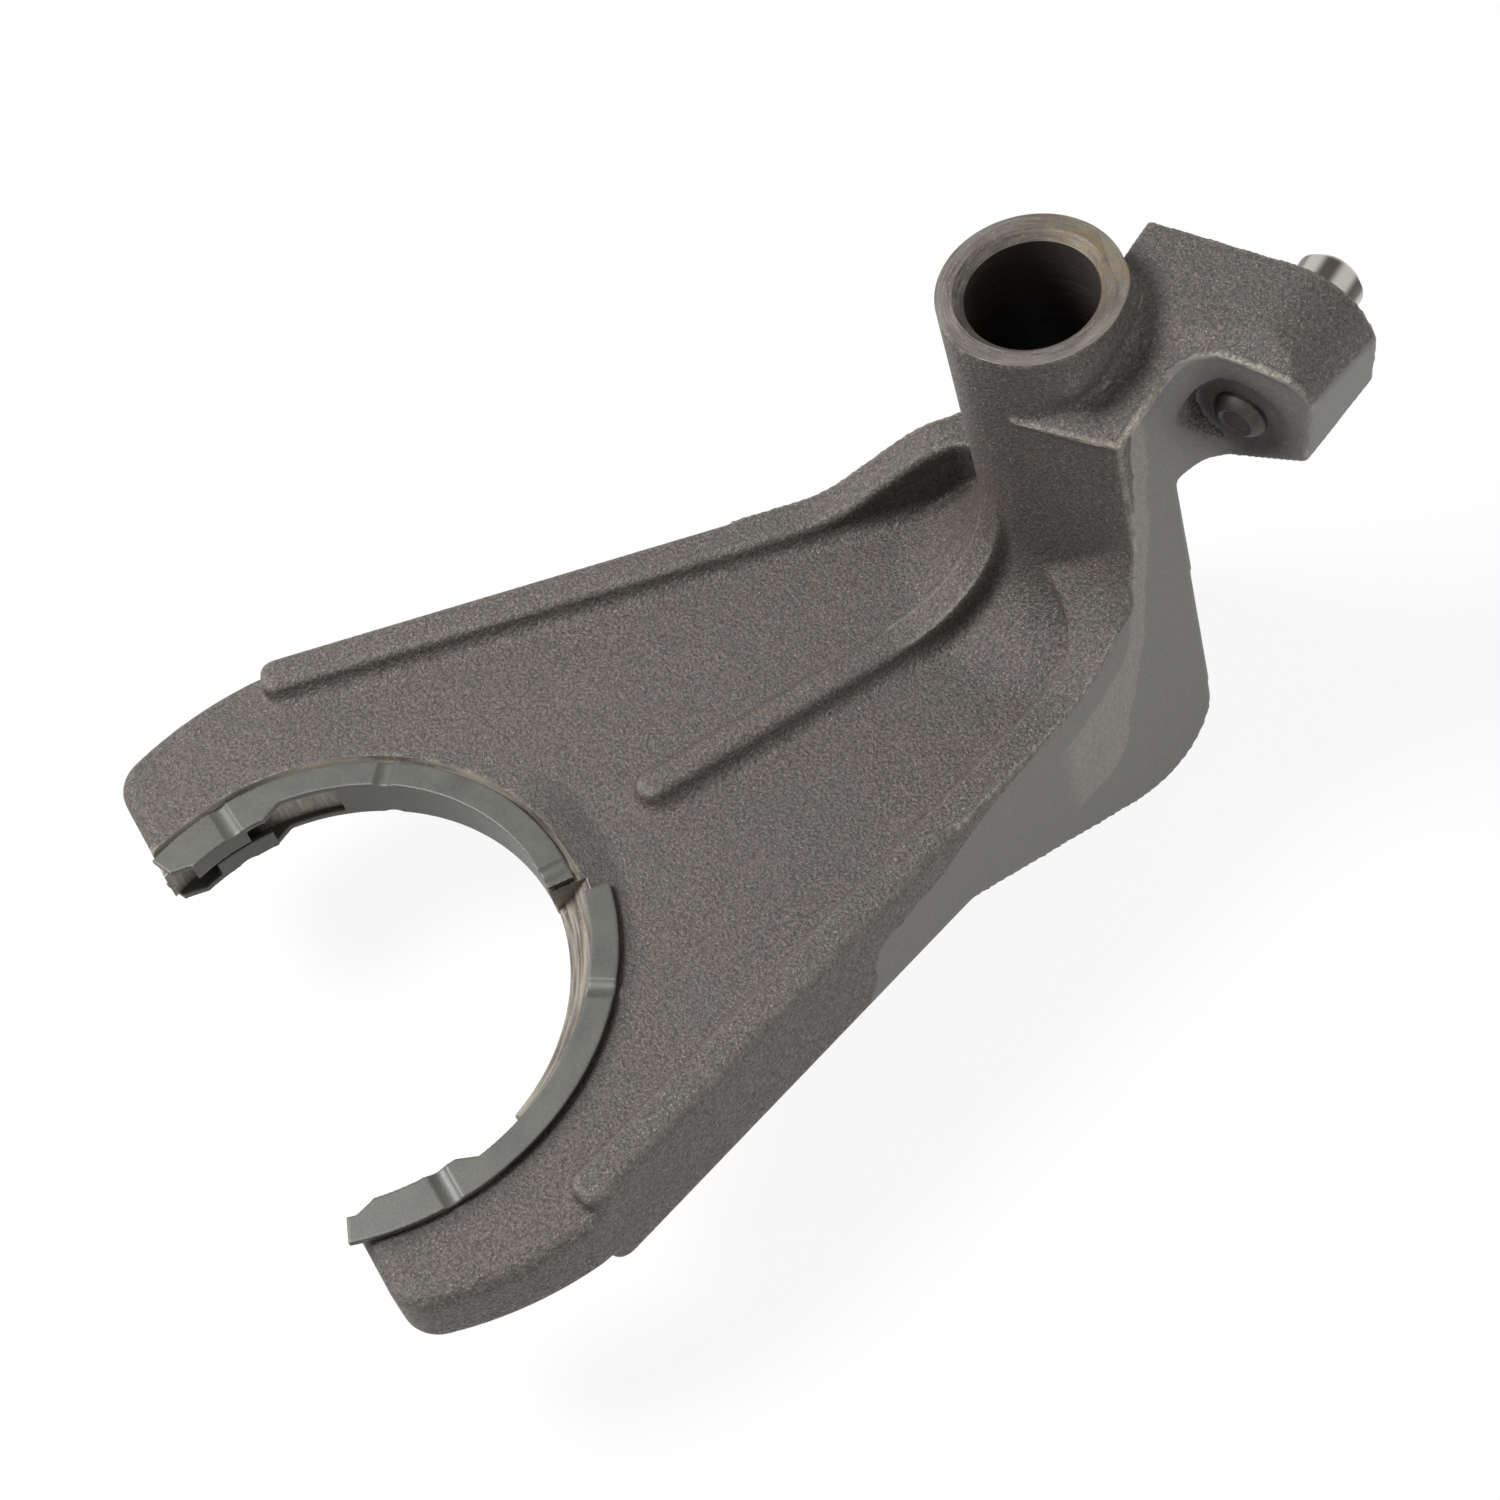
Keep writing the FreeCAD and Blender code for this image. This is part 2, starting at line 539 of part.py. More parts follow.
def facing(radius, top_z, top_arc, low_arc, web_arc, tab_deg, grooves):
    """Folded sheet facing: two flanges, a web over part of its length, and two tabs that meet at a seam."""
    low_z = top_z - CLIP_HEIGHT
    inner = radius - BULGE
    half = math.degrees(TAB_HALF_W / inner)
    shift = math.degrees(TAB_SHIFT / inner)
    seam_z = (low_z + top_z) / 2
    sheet = fuse([flange(radius, top_z - CLIP_SHEET, top_arc[0], top_arc[1], tab_deg),
                  flange(radius, low_z, low_arc[0], low_arc[1], tab_deg),
                  ring(radius, radius + CLIP_SHEET, low_z, top_z, web_arc[0], web_arc[1]),
                  ring(inner, inner + CLIP_SHEET, seam_z + TAB_SEAM / 2, top_z,
                       tab_deg + shift - half, tab_deg + shift + half),
                  ring(inner, inner + CLIP_SHEET, low_z, seam_z - TAB_SEAM / 2,
                       tab_deg - shift - half, tab_deg - shift + half)])
    rods = [groove(radius, deg, top_z, 1) for deg in grooves]
    rods += [groove(radius, deg, low_z, -1) for deg in grooves if low_arc[0] < deg < low_arc[1]]
    return sheet.cut(rods)


def far_facing():
    """Facing on the prong away from the arm, seated on the machined lip."""
    tip = tip_angle(FAR_CLIP_R + CLIP_FLANGE_W / 2, 1)
    arc = (FAR_CLIP_START_DEG, tip)
    return facing(FAR_CLIP_R, FAR_CLIP_TOP_Z, arc, arc, (FAR_WEB_START_DEG, FAR_WEB_END_DEG),
                  tip - math.degrees(FAR_TAB_BACK / FAR_CLIP_R), FAR_GROOVES_DEG)


def arm_facing():
    """Facing on the arm side prong, clipped over the plate's edge and a little proud of it."""
    end_r = ARM_CLIP_R + CLIP_FLANGE_W / 2
    tip = tip_angle(end_r, -1) + math.degrees(ARM_CLIP_OVERHANG / end_r)
    low_end = tip - math.degrees(ARM_CLIP_CUT_BACK / ARM_CLIP_R)
    sheet = facing(ARM_CLIP_R, HALF_T + ARM_CLIP_STAND + CLIP_SHEET, (ARM_CLIP_START_DEG, tip),
                   (ARM_WEB_START_DEG, low_end), (ARM_WEB_START_DEG, ARM_WEB_END_DEG),
                   tip - math.degrees(ARM_TAB_BACK / ARM_CLIP_R), ARM_GROOVES_DEG)
    return sheet.mirror(V(), V(0, 1, 0))


os.makedirs("parts", exist_ok=True)
pieces = {
    "fork_body": body(),
    "shift_pin": pin(),
    "facing_far_side": far_facing(),
    "facing_arm_side": arm_facing(),
}
for name, shape in pieces.items():
    shape.exportStep("parts/" + name + ".step")
    print(name, len(shape.Solids), round(shape.Volume, 1), shape.isValid(), shape.BoundBox)
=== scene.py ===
import bpy
import json
import math
import numpy as np
from mathutils import Matrix, Vector


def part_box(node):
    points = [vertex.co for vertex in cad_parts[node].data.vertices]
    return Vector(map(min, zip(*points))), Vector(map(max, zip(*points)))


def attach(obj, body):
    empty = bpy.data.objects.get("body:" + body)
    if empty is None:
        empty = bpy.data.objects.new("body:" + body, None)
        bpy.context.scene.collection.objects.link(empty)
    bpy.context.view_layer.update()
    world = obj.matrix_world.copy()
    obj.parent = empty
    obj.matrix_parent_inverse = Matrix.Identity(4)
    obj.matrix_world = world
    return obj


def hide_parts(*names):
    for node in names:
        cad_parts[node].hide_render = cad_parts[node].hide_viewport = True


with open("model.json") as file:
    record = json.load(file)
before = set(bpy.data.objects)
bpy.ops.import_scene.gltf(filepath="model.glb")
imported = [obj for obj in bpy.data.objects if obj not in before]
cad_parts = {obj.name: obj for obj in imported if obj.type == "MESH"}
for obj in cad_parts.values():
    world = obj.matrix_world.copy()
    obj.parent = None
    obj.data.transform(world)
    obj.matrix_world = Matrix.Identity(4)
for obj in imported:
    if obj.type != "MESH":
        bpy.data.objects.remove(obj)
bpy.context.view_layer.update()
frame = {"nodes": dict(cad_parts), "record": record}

MM = 0.001
UP = Vector((0, 0, 1))
mounts = {mount["name"]: mount for mount in frame["record"]["mounts"]}
THROAT = Vector(mounts["collar_groove"]["pos_m"])
THROAT.z = 0.0
BORE_R = mounts["rail_bore"]["dims"]["r_mm"] * MM
PIN_DIR = Vector(mounts["pin_head"]["axis"])
BODY_LOW, BODY_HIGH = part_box("fork_body")

# Forging
HUB_R = 15.6 * MM
PLATE_HALF = 7.0 * MM
PRONG_END_FAR = Vector((-166.0, 62.2, 0)) * MM
PRONG_END_ARM = Vector((-168.2, -61.0, 0)) * MM
BODY_GRID = 0.55 * MM
BODY_FACES = 110000
BORE_CHAMFER = 1.6 * MM
WALL_TURN = math.radians(17)
WALL_OUT = Vector((math.sin(WALL_TURN), -math.cos(WALL_TURN), 0))
WALL_AT = 24.8 * MM * math.cos(WALL_TURN)

# Limits of what is trimmed smooth: depths below the wall's face and behind the arm's, the least Z
# and X on the arm, and how far a normal may lean
WALL_DEPTH = 0.45 * MM
ARM_WALL_DEPTH = 14 * MM
ARM_FACE_DEPTH = 6.0 * MM
ARM_LOW_Z = 36 * MM
ARM_LOW_X = 2 * MM
UPRIGHT_LIMIT = 0.3
FACING_LIMIT = 0.5

# Pin through the arm
PIN_FACE = Vector((19.9, -26.5, 54.2)) * MM
ARM_T = 19.2 * MM
SHANK_R = 4.5 * MM
SHANK_PLAY = 0.4 * MM
STUB_R = 4.75 * MM
HEAD_R = 5.95 * MM
PIN_LENGTH = 32.0 * MM
PEEN_PROUD = 2.4 * MM
SPOT_DEPTH = 0.6 * MM

# Throat, seen along the rail: radii about its centre and angles in degrees from +X
LIP_R = 40.1 * MM
LAND_R = 46.8 * MM
LAND_INNER_Z = 0.8 * MM
LAND_UNDER_Z = -4.0 * MM
LAND_END = -68.0
FAR_START = -9.4
FAR_SEAT_R = 41.05 * MM
FAR_SEAT_OUT = 44.9 * MM
FAR_RIM_R = 45.8 * MM
FAR_SEAT_TOP = 5.75 * MM
FAR_SEAT_LOW = -0.65 * MM
ARM_SEAT_R = 46.55 * MM
ARM_SEAT_OUT = 50.4 * MM
ARM_SEAT_LOW = 0.8 * MM
THROAT_OPEN = 175
CUT_INNER_R = 30 * MM
CUT_REACH = 20 * MM

# Folded facings
SHEET_GRID = 0.2 * MM
SHEET_FACES = 26000

# Lines along the forging, in mm: the flash ridge over the arm and tower, the corner below it,
# the trough beside the ridge and the swell between the trough and the hub
RIDGE = [(-11.8, -10.3, 61.6), (-8.1, -15.3, 61.2), (-4.1, -20.9, 60.9), (-1.4, -25.2, 61.3),
         (1.4, -24.4, 62.7), (5.5, -23.1, 64.1), (10.4, -21.7, 65.8), (13.7, -21.8, 67.8),
         (16.3, -22.8, 68.7), (18.8, -24.8, 69.1), (20.8, -28.3, 69.0), (23.0, -32.4, 68.7),
         (24.6, -35.5, 68.3), (25.5, -37.3, 66.8)]
CORNER = [(-1.4, -25.2, 61.3), (-1.9, -25.2, 48.8), (-2.3, -25.4, 38.0), (-3.4, -25.8, 29.0)]
TROUGH = [(1.1, -18.0, 64.0), (5.1, -17.4, 65.8), (9.0, -16.4, 67.7), (13.0, -15.3, 69.8)]
SWELL = [(-2.6, -13.4, 69.0), (4.9, -10.3, 70.0), (12.2, -7.6, 71.2)]

# Edges of the trimmed strips on the arm side wall, as (height, X) in mm: where the rough crown
# ends, where the dark strip gives way to a paler one, and where that ends
STRIP_EDGE = [(-10, -75), (2.6, -70), (3.4, -56), (8.0, -44), (9.3, -36), (10.6, -27), (13.8, -21),
              (17.3, -12), (20.0, -6.2), (28.1, -3.6), (42.0, -1.4), (53.8, 0.2), (70, 2)]
PALE_EDGE = [(-10, -75), (1.2, -60), (1.9, -45), (2.2, -29), (3.6, -22), (5.3, -18.4), (7.6, -13.8),
             (9.3, -10.3), (14.1, -6.9), (18.8, -5.9), (28.1, -3.6), (42, -1.4), (70, 2)]
FACE_EDGE = [(-15.6, -17.5), (-14.0, -14.6), (-10.4, -12.0), (-3.5, -9.3), (4.8, -6.1), (10.8, -4.3),
             (20.1, -2.2), (29.3, -0.2), (38.4, 1.6), (47.2, 2.9), (56, 4.4)]


def linear(code):
    """Linear colour of an sRGB hex value."""
    parts = [int(code[i:i + 2], 16) / 255 for i in (1, 3, 5)]
    return [p / 12.92 if p <= 0.04045 else ((p + 0.055) / 1.055) ** 2.4 for p in parts] + [1.0]


def feed(tree, node, inputs):
    """Sets or links the inputs of a node; a hex value is a colour."""
    for name, value in inputs.items():
        if isinstance(value, bpy.types.NodeSocket):
            tree.links.new(value, node.inputs[name])
        else:
            node.inputs[name].default_value = linear(value) if isinstance(value, str) else value


def add(tree, kind, inputs, out=0, **settings):
    """Adds a node with its settings and links, and gives one of its outputs."""
    node = tree.nodes.new("ShaderNode" + kind)
    for name, value in settings.items():
        setattr(node, name, value)
    feed(tree, node, inputs)
    return node.outputs[out]


def clear_selection():
    """Nothing is selected, in object mode."""
    if bpy.context.object and bpy.context.object.mode != "OBJECT":
        bpy.ops.object.mode_set(mode="OBJECT")
    bpy.ops.object.select_all(action="DESELECT")


def pick(piece):
    """Only this piece is selected, and it is active."""
    clear_selection()
    piece.select_set(True)
    bpy.context.view_layer.objects.active = piece


def settle(piece, name=None):
    """The piece's place goes into its mesh."""
    pick(piece)
    bpy.ops.object.transform_apply(location=True, rotation=True, scale=True)
    if name:
        piece.name = name
        piece.data.name = name
    return piece


def modify(piece, kind, **settings):
    """Adds a modifier and applies it."""
    pick(piece)
    modifier = piece.modifiers.new(kind.lower(), kind)
    for name, value in settings.items():
        setattr(modifier, name, value)
    bpy.ops.object.modifier_apply(modifier=modifier.name)


def copy_of(node, name):
    """A copy of a CAD node with its loose triangles joined."""
    source = frame["nodes"][node]
    piece = source.copy()
    piece.data = source.data.copy()
    piece.parent = None
    for key in list(piece.keys()):
        del piece[key]
    bpy.context.scene.collection.objects.link(piece)
    piece.name = name
    piece.data.name = name
    piece.data.materials.clear()
    pick(piece)
    bpy.ops.object.mode_set(mode="EDIT")
    bpy.ops.mesh.select_all(action="SELECT")
    bpy.ops.mesh.remove_doubles(threshold=0.002 * MM)
    bpy.ops.object.mode_set(mode="OBJECT")
    return piece


def rod(radius, low, high, steps=96, radius_high=None):
    """A round bar, or a cone, between two points."""
    clear_selection()
    axis = high - low
    turn = UP.rotation_difference(axis).to_euler()
    bpy.ops.mesh.primitive_cone_add(vertices=steps, radius1=radius, depth=axis.length,
                                    radius2=radius if radius_high is None else radius_high,
                                    location=(low + high) / 2, rotation=turn)
    return settle(bpy.context.object)


def sector(profile, start, end):
    """A four-sided profile of (radius, height), spun about the throat's centre between two angles."""
    clear_selection()
    bpy.ops.mesh.primitive_plane_add(size=1)
    piece = bpy.context.object
    turn = Matrix.Rotation(math.radians(start), 3, "Z")
    for corner, (r, z) in zip(piece.data.polygons[0].vertices, profile):
        piece.data.vertices[corner].co = turn @ Vector((r, 0, z)) + THROAT
    bpy.ops.object.mode_set(mode="EDIT")
    bpy.ops.mesh.select_all(action="SELECT")
    bpy.ops.mesh.spin(steps=max(6, int(abs(end - start) / 2)), angle=math.radians(end - start),
                      center=THROAT, axis=(0, 0, -1))
    bpy.ops.mesh.select_all(action="SELECT")
    bpy.ops.mesh.remove_doubles(threshold=0.001 * MM)
    bpy.ops.mesh.normals_make_consistent(inside=False)
    bpy.ops.object.mode_set(mode="OBJECT")
    return piece


def block(low, high):
    """A block between two corners."""
    clear_selection()
    bpy.ops.mesh.primitive_cube_add(size=1, location=(low + high) / 2, scale=high - low)
    return settle(bpy.context.object)


def cut(piece, cutter, finish):
    """Takes the cutter away from the piece and leaves the cutter's finish on the cut."""
    cutter.data.materials.clear()
    cutter.data.materials.append(finish)
    modify(piece, "BOOLEAN", operation="DIFFERENCE", object=cutter, solver="MANIFOLD",
           material_mode="TRANSFER")
    bpy.data.objects.remove(cutter)


def places(piece):
    """Vertex places and normals of a mesh, as arrays."""
    count = len(piece.data.vertices)
    points = np.empty(count * 3, dtype=np.float32)
    piece.data.vertices.foreach_get("co", points)
    normals = np.empty(count * 3, dtype=np.float32)
    piece.data.vertex_normals.foreach_get("vector", normals)
    return points.reshape(-1, 3), normals.reshape(-1, 3)


def distance_to(points, line):
    """Distance of each point to a line of corners given in mm."""
    corners = np.array(line) * MM
    nearest = np.full(len(points), 1.0)
    for a, b in zip(corners, corners[1:]):
        run = b - a
        along = np.clip((points - a) @ run / (run @ run), 0.0, 1.0)
        gap = np.linalg.norm(points - a - along[:, None] * run, axis=1)
        nearest = np.minimum(nearest, gap)
    return nearest


def press(piece, line, width, height):
    """Raises, or sinks, a soft band of the surface along a line."""
    points, normals = places(piece)
    swell = height * np.exp(-(distance_to(points, line) / width) ** 2)
    points += normals * swell[:, None]
    piece.data.vertices.foreach_set("co", points.ravel())
    piece.data.update()


def store(piece, name, values):
    """Keeps one number per vertex under a name that materials read."""
    layer = piece.data.attributes.new(name, "FLOAT", "POINT")
    layer.data.foreach_set("value", values.astype(np.float32))


def finish(piece, steel, angle):
    """Gives a piece its material and stored wear, and smooths its shading up to an angle."""
    piece.data.materials.append(steel)
    store(piece, "wear", edge_wear(piece))
    pick(piece)
    bpy.ops.object.shade_smooth_by_angle(angle=math.radians(angle))
    return piece


def edge_wear(piece):
    """How sharply the surface turns outwards at each vertex, spread over three rings, in 1/m."""
    points, normals = places(piece)
    ends = np.empty(len(piece.data.edges) * 2, dtype=np.int32)
    piece.data.edges.foreach_get("vertices", ends)
    a, b = ends.reshape(-1, 2).T
    apart = points[a] - points[b]
    turn = ((normals[a] - normals[b]) * apart).sum(axis=1) / np.maximum((apart ** 2).sum(axis=1), 1e-9)
    count = np.bincount(a, minlength=len(points)) + np.bincount(b, minlength=len(points))
    values = np.clip(turn, -3000, 3000)
    for _ in range(3):
        total = np.bincount(a, values, len(points)) + np.bincount(b, values, len(points))
        mean = total / np.maximum(count, 1)
        values = (mean[a] + mean[b]) / 2
    return mean


def throat_blank():
    """Disc that fills the throat up to the prong ends, before it is machined."""
    half = Vector((0, 0, PLATE_HALF))
    overlap = 0.7 * MM
    blank = rod(LAND_R + overlap, THROAT - half, THROAT + half)
    along = PRONG_END_ARM - PRONG_END_FAR
    outward = Vector((along.y, -along.x, 0)).normalized()
    pick(blank)
    bpy.ops.object.mode_set(mode="EDIT")
    bpy.ops.mesh.select_all(action="SELECT")
    bpy.ops.mesh.bisect(plane_co=PRONG_END_FAR, plane_no=outward, use_fill=True, clear_outer=True)
    bpy.ops.object.mode_set(mode="OBJECT")
    return blank


def forged_blank():
    """The forging before machining: the CAD body with its bore and throat filled, edges softened."""
    body = copy_of("fork_body", "forging")
    extra = Vector((0, 0, 3 * MM))
    fills = [rod(HUB_R, UP * BODY_LOW.z - extra, UP * BODY_HIGH.z + extra), throat_blank(),
             rod(SHANK_R + SHANK_PLAY, PIN_FACE + PIN_DIR * SPOT_DEPTH, PIN_FACE + PIN_DIR * ARM_T)]
    clear_selection()
    for fill in fills:
        fill.select_set(True)
    body.select_set(True)
    bpy.context.view_layer.objects.active = body
    bpy.ops.object.join()
    modify(body, "REMESH", mode="VOXEL", voxel_size=BODY_GRID, adaptivity=0.0)
    modify(body, "SMOOTH", factor=0.5, iterations=5)
    press(body, TROUGH, width=3.4 * MM, height=-1.3 * MM)
    press(body, SWELL, width=3.4 * MM, height=2.2 * MM)
    press(body, RIDGE, width=0.8 * MM, height=0.6 * MM)
    modify(body, "SMOOTH", factor=0.5, iterations=2)
    modify(body, "DECIMATE", ratio=min(1.0, BODY_FACES / len(body.data.polygons)))
    return body


def turn_hub(body):
    """Faces both hub ends, bores the rail hole and chamfers its mouths."""
    far = 30 * MM
    wide = 40 * MM
    low, high = BODY_LOW.z, BODY_HIGH.z
    over = 1 * MM
    cut(body, block(Vector((-wide, -wide, high)), Vector((wide, wide, high + far))), turned)
    cut(body, block(Vector((-wide, -wide, low - far)), Vector((wide, wide, low))), turned)
    cut(body, rod(BORE_R, UP * (low - far), UP * (high + far), steps=128), bored)
    mouth = BORE_R + BORE_CHAMFER + over
    cut(body, rod(BORE_R - over, UP * (high - BORE_CHAMFER - over), UP * (high + over), steps=128,
                  radius_high=mouth), turned)
    cut(body, rod(mouth, UP * (low - over), UP * (low + BORE_CHAMFER + over), steps=128,
                  radius_high=BORE_R - over), turned)


def mill(body, radius, top, start, end):
    """Mills away what lies inside a radius and below a height, between two angles."""
    profile = [(CUT_INNER_R, -CUT_REACH), (radius, -CUT_REACH), (radius, top), (CUT_INNER_R, top)]
    cut(body, sector(profile, start, end), milled)


def machine_throat(body):
    """Mills the throat, its raw land and the seats of both facings."""
    reach = Vector((0, 0, CUT_REACH))
    over = LAND_R + 2 * MM
    land_slope = (PLATE_HALF - LAND_INNER_Z) / (LAND_R - LIP_R)
    land = [(CUT_INNER_R, PLATE_HALF - (LAND_R - CUT_INNER_R) * land_slope),
            (over, PLATE_HALF + 2 * MM * land_slope), (over, CUT_REACH), (CUT_INNER_R, CUT_REACH)]
    seat_slope = (PLATE_HALF - FAR_SEAT_TOP) / (FAR_RIM_R - FAR_SEAT_OUT)
    seat_over = PLATE_HALF + (over - FAR_RIM_R) * seat_slope
    far_seat = [(CUT_INNER_R, FAR_SEAT_TOP), (FAR_SEAT_OUT, FAR_SEAT_TOP), (over, seat_over),
                (CUT_INNER_R, seat_over)]
    cut(body, rod(LIP_R, THROAT - reach, THROAT + reach, steps=180), milled)
    cut(body, sector(land, LAND_END, FAR_START), milled)
    mill(body, LAND_R, LAND_UNDER_Z, LAND_END, FAR_START)
    mill(body, FAR_SEAT_R, CUT_REACH, FAR_START, THROAT_OPEN)
    cut(body, sector(far_seat, FAR_START, THROAT_OPEN), milled)
    mill(body, LAND_R, FAR_SEAT_LOW, FAR_START, THROAT_OPEN)
    mill(body, ARM_SEAT_R, CUT_REACH, -THROAT_OPEN, LAND_END)
    mill(body, ARM_SEAT_OUT, ARM_SEAT_LOW, -THROAT_OPEN, LAND_END)


def machine_arm(body):
    """Drills the pin's hole through the arm."""
    past = 5 * MM
    cut(body, rod(SHANK_R, PIN_FACE - PIN_DIR * past, PIN_FACE + PIN_DIR * (ARM_T + past)), turned)


def make_body():
    """The finished forging."""
    body = forged_blank()
    body.data.materials.clear()
    body.data.materials.append(forged)
    turn_hub(body)
    machine_throat(body)
    machine_arm(body)
    points, normals = places(body)
    store(body, "wear", edge_wear(body))
    store(body, "ridge", distance_to(points, RIDGE))
    store(body, "corner", distance_to(points, CORNER))
    for name, edge in (("strip", STRIP_EDGE), ("pale", PALE_EDGE), ("plain", FACE_EDGE)):
        heights, across = np.array(edge).T * MM
        store(body, name, points[:, 0] - np.interp(points[:, 2], heights, across))
    outward = points @ np.array(WALL_OUT)
    on_wall = (outward > WALL_AT - WALL_DEPTH) & (np.abs(normals[:, 2]) < UPRIGHT_LIMIT)
    ahead = (points - np.array(PIN_FACE)) @ np.array(PIN_DIR)
    near_face = (ahead < ARM_FACE_DEPTH) & (normals @ np.array(PIN_DIR) < -FACING_LIMIT)
    arm_end = (outward > WALL_AT - ARM_WALL_DEPTH) & (points[:, 0] > ARM_LOW_X)
    on_arm = near_face & arm_end & (points[:, 2] > ARM_LOW_Z)
    store(body, "trimmed", (on_wall | on_arm).astype(float))
    pick(body)
    bpy.ops.object.shade_smooth_by_angle(angle=math.radians(32))
    return body


def spun(profile, low, axis, name, steps=96):
    """A piece turned about an axis from a profile of (radius, distance along it)."""
    clear_selection()
    bpy.ops.mesh.primitive_circle_add(vertices=steps, radius=profile[0][0], fill_type="NGON",
                                      location=(0, 0, profile[0][1]))
    piece = bpy.context.object
    bpy.ops.object.mode_set(mode="EDIT")
    bpy.ops.mesh.select_all(action="SELECT")
    for (r0, h0), (r1, h1) in zip(profile, profile[1:]):
        bpy.ops.mesh.extrude_region_move(TRANSFORM_OT_translate={"value": (0, 0, h1 - h0)})
        bpy.ops.transform.resize(value=(r1 / r0, r1 / r0, 1), center_override=(0, 0, h1))
    bpy.ops.mesh.select_all(action="SELECT")
    bpy.ops.mesh.normals_make_consistent(inside=False)
    bpy.ops.object.mode_set(mode="OBJECT")
    settle(piece, name)
    piece.rotation_euler = UP.rotation_difference(axis).to_euler()
    piece.location = low
    return settle(piece)


def make_pin():
    """Pressed pin: peened stub with a dished end on the face side, turned head on the other."""
    near = SPOT_DEPTH - PEEN_PROUD
    end = PIN_LENGTH
    stub = [(2.3 * MM, near + 0.45 * MM), (2.7 * MM, near + 0.1 * MM), (3.0 * MM, near),
            (3.3 * MM, near + 0.1 * MM), (3.9 * MM, near + 0.55 * MM), (4.3 * MM, near + 1.0 * MM),
            (STUB_R, near + 1.6 * MM), (STUB_R, SPOT_DEPTH)]
    shank = [(SHANK_R, SPOT_DEPTH), (SHANK_R, ARM_T)]
    head = [(HEAD_R - 0.3 * MM, ARM_T), (HEAD_R, ARM_T + 0.3 * MM), (HEAD_R, end - 1.75 * MM),
            (HEAD_R - 0.15 * MM, end - 1.45 * MM), (HEAD_R - 1.5 * MM, end - 0.15 * MM),
            (HEAD_R - 1.75 * MM, end)]
    return finish(spun(stub + shank + head, PIN_FACE, PIN_DIR, "pin"), pin_steel, 34)


def make_facing(node, name):
    """A folded facing: the CAD sheet with its cut edges broken and its folds rounded."""
    piece = copy_of(node, name)
    modify(piece, "REMESH", mode="VOXEL", voxel_size=SHEET_GRID, adaptivity=0.0)
    modify(piece, "SMOOTH", factor=0.5, iterations=6)
    modify(piece, "DECIMATE", ratio=min(1.0, SHEET_FACES / len(piece.data.polygons)))
    return finish(piece, sheet, 50)


def start_material(name):
    """A material with its shader, and the object's own coordinates."""
    material = bpy.data.materials.new(name)
    material.use_nodes = True
    tree = material.node_tree
    return material, tree, tree.nodes["Principled BSDF"], add(tree, "TexCoord", {}, "Object")


def about(tree, place, centre):
    """Radius, bearing and height of a place about an upright axis through a point."""
    moved = add(tree, "VectorMath", {0: place, 1: centre}, operation="SUBTRACT")
    x = add(tree, "SeparateXYZ", {0: moved}, "X")
    y = add(tree, "SeparateXYZ", {0: moved}, "Y")
    z = add(tree, "SeparateXYZ", {0: moved}, "Z")
    flat = add(tree, "CombineXYZ", {"X": x, "Y": y})
    radius = add(tree, "VectorMath", {0: flat}, "Value", operation="LENGTH")
    return radius, add(tree, "Math", {0: y, 1: x}, operation="ARCTAN2"), z


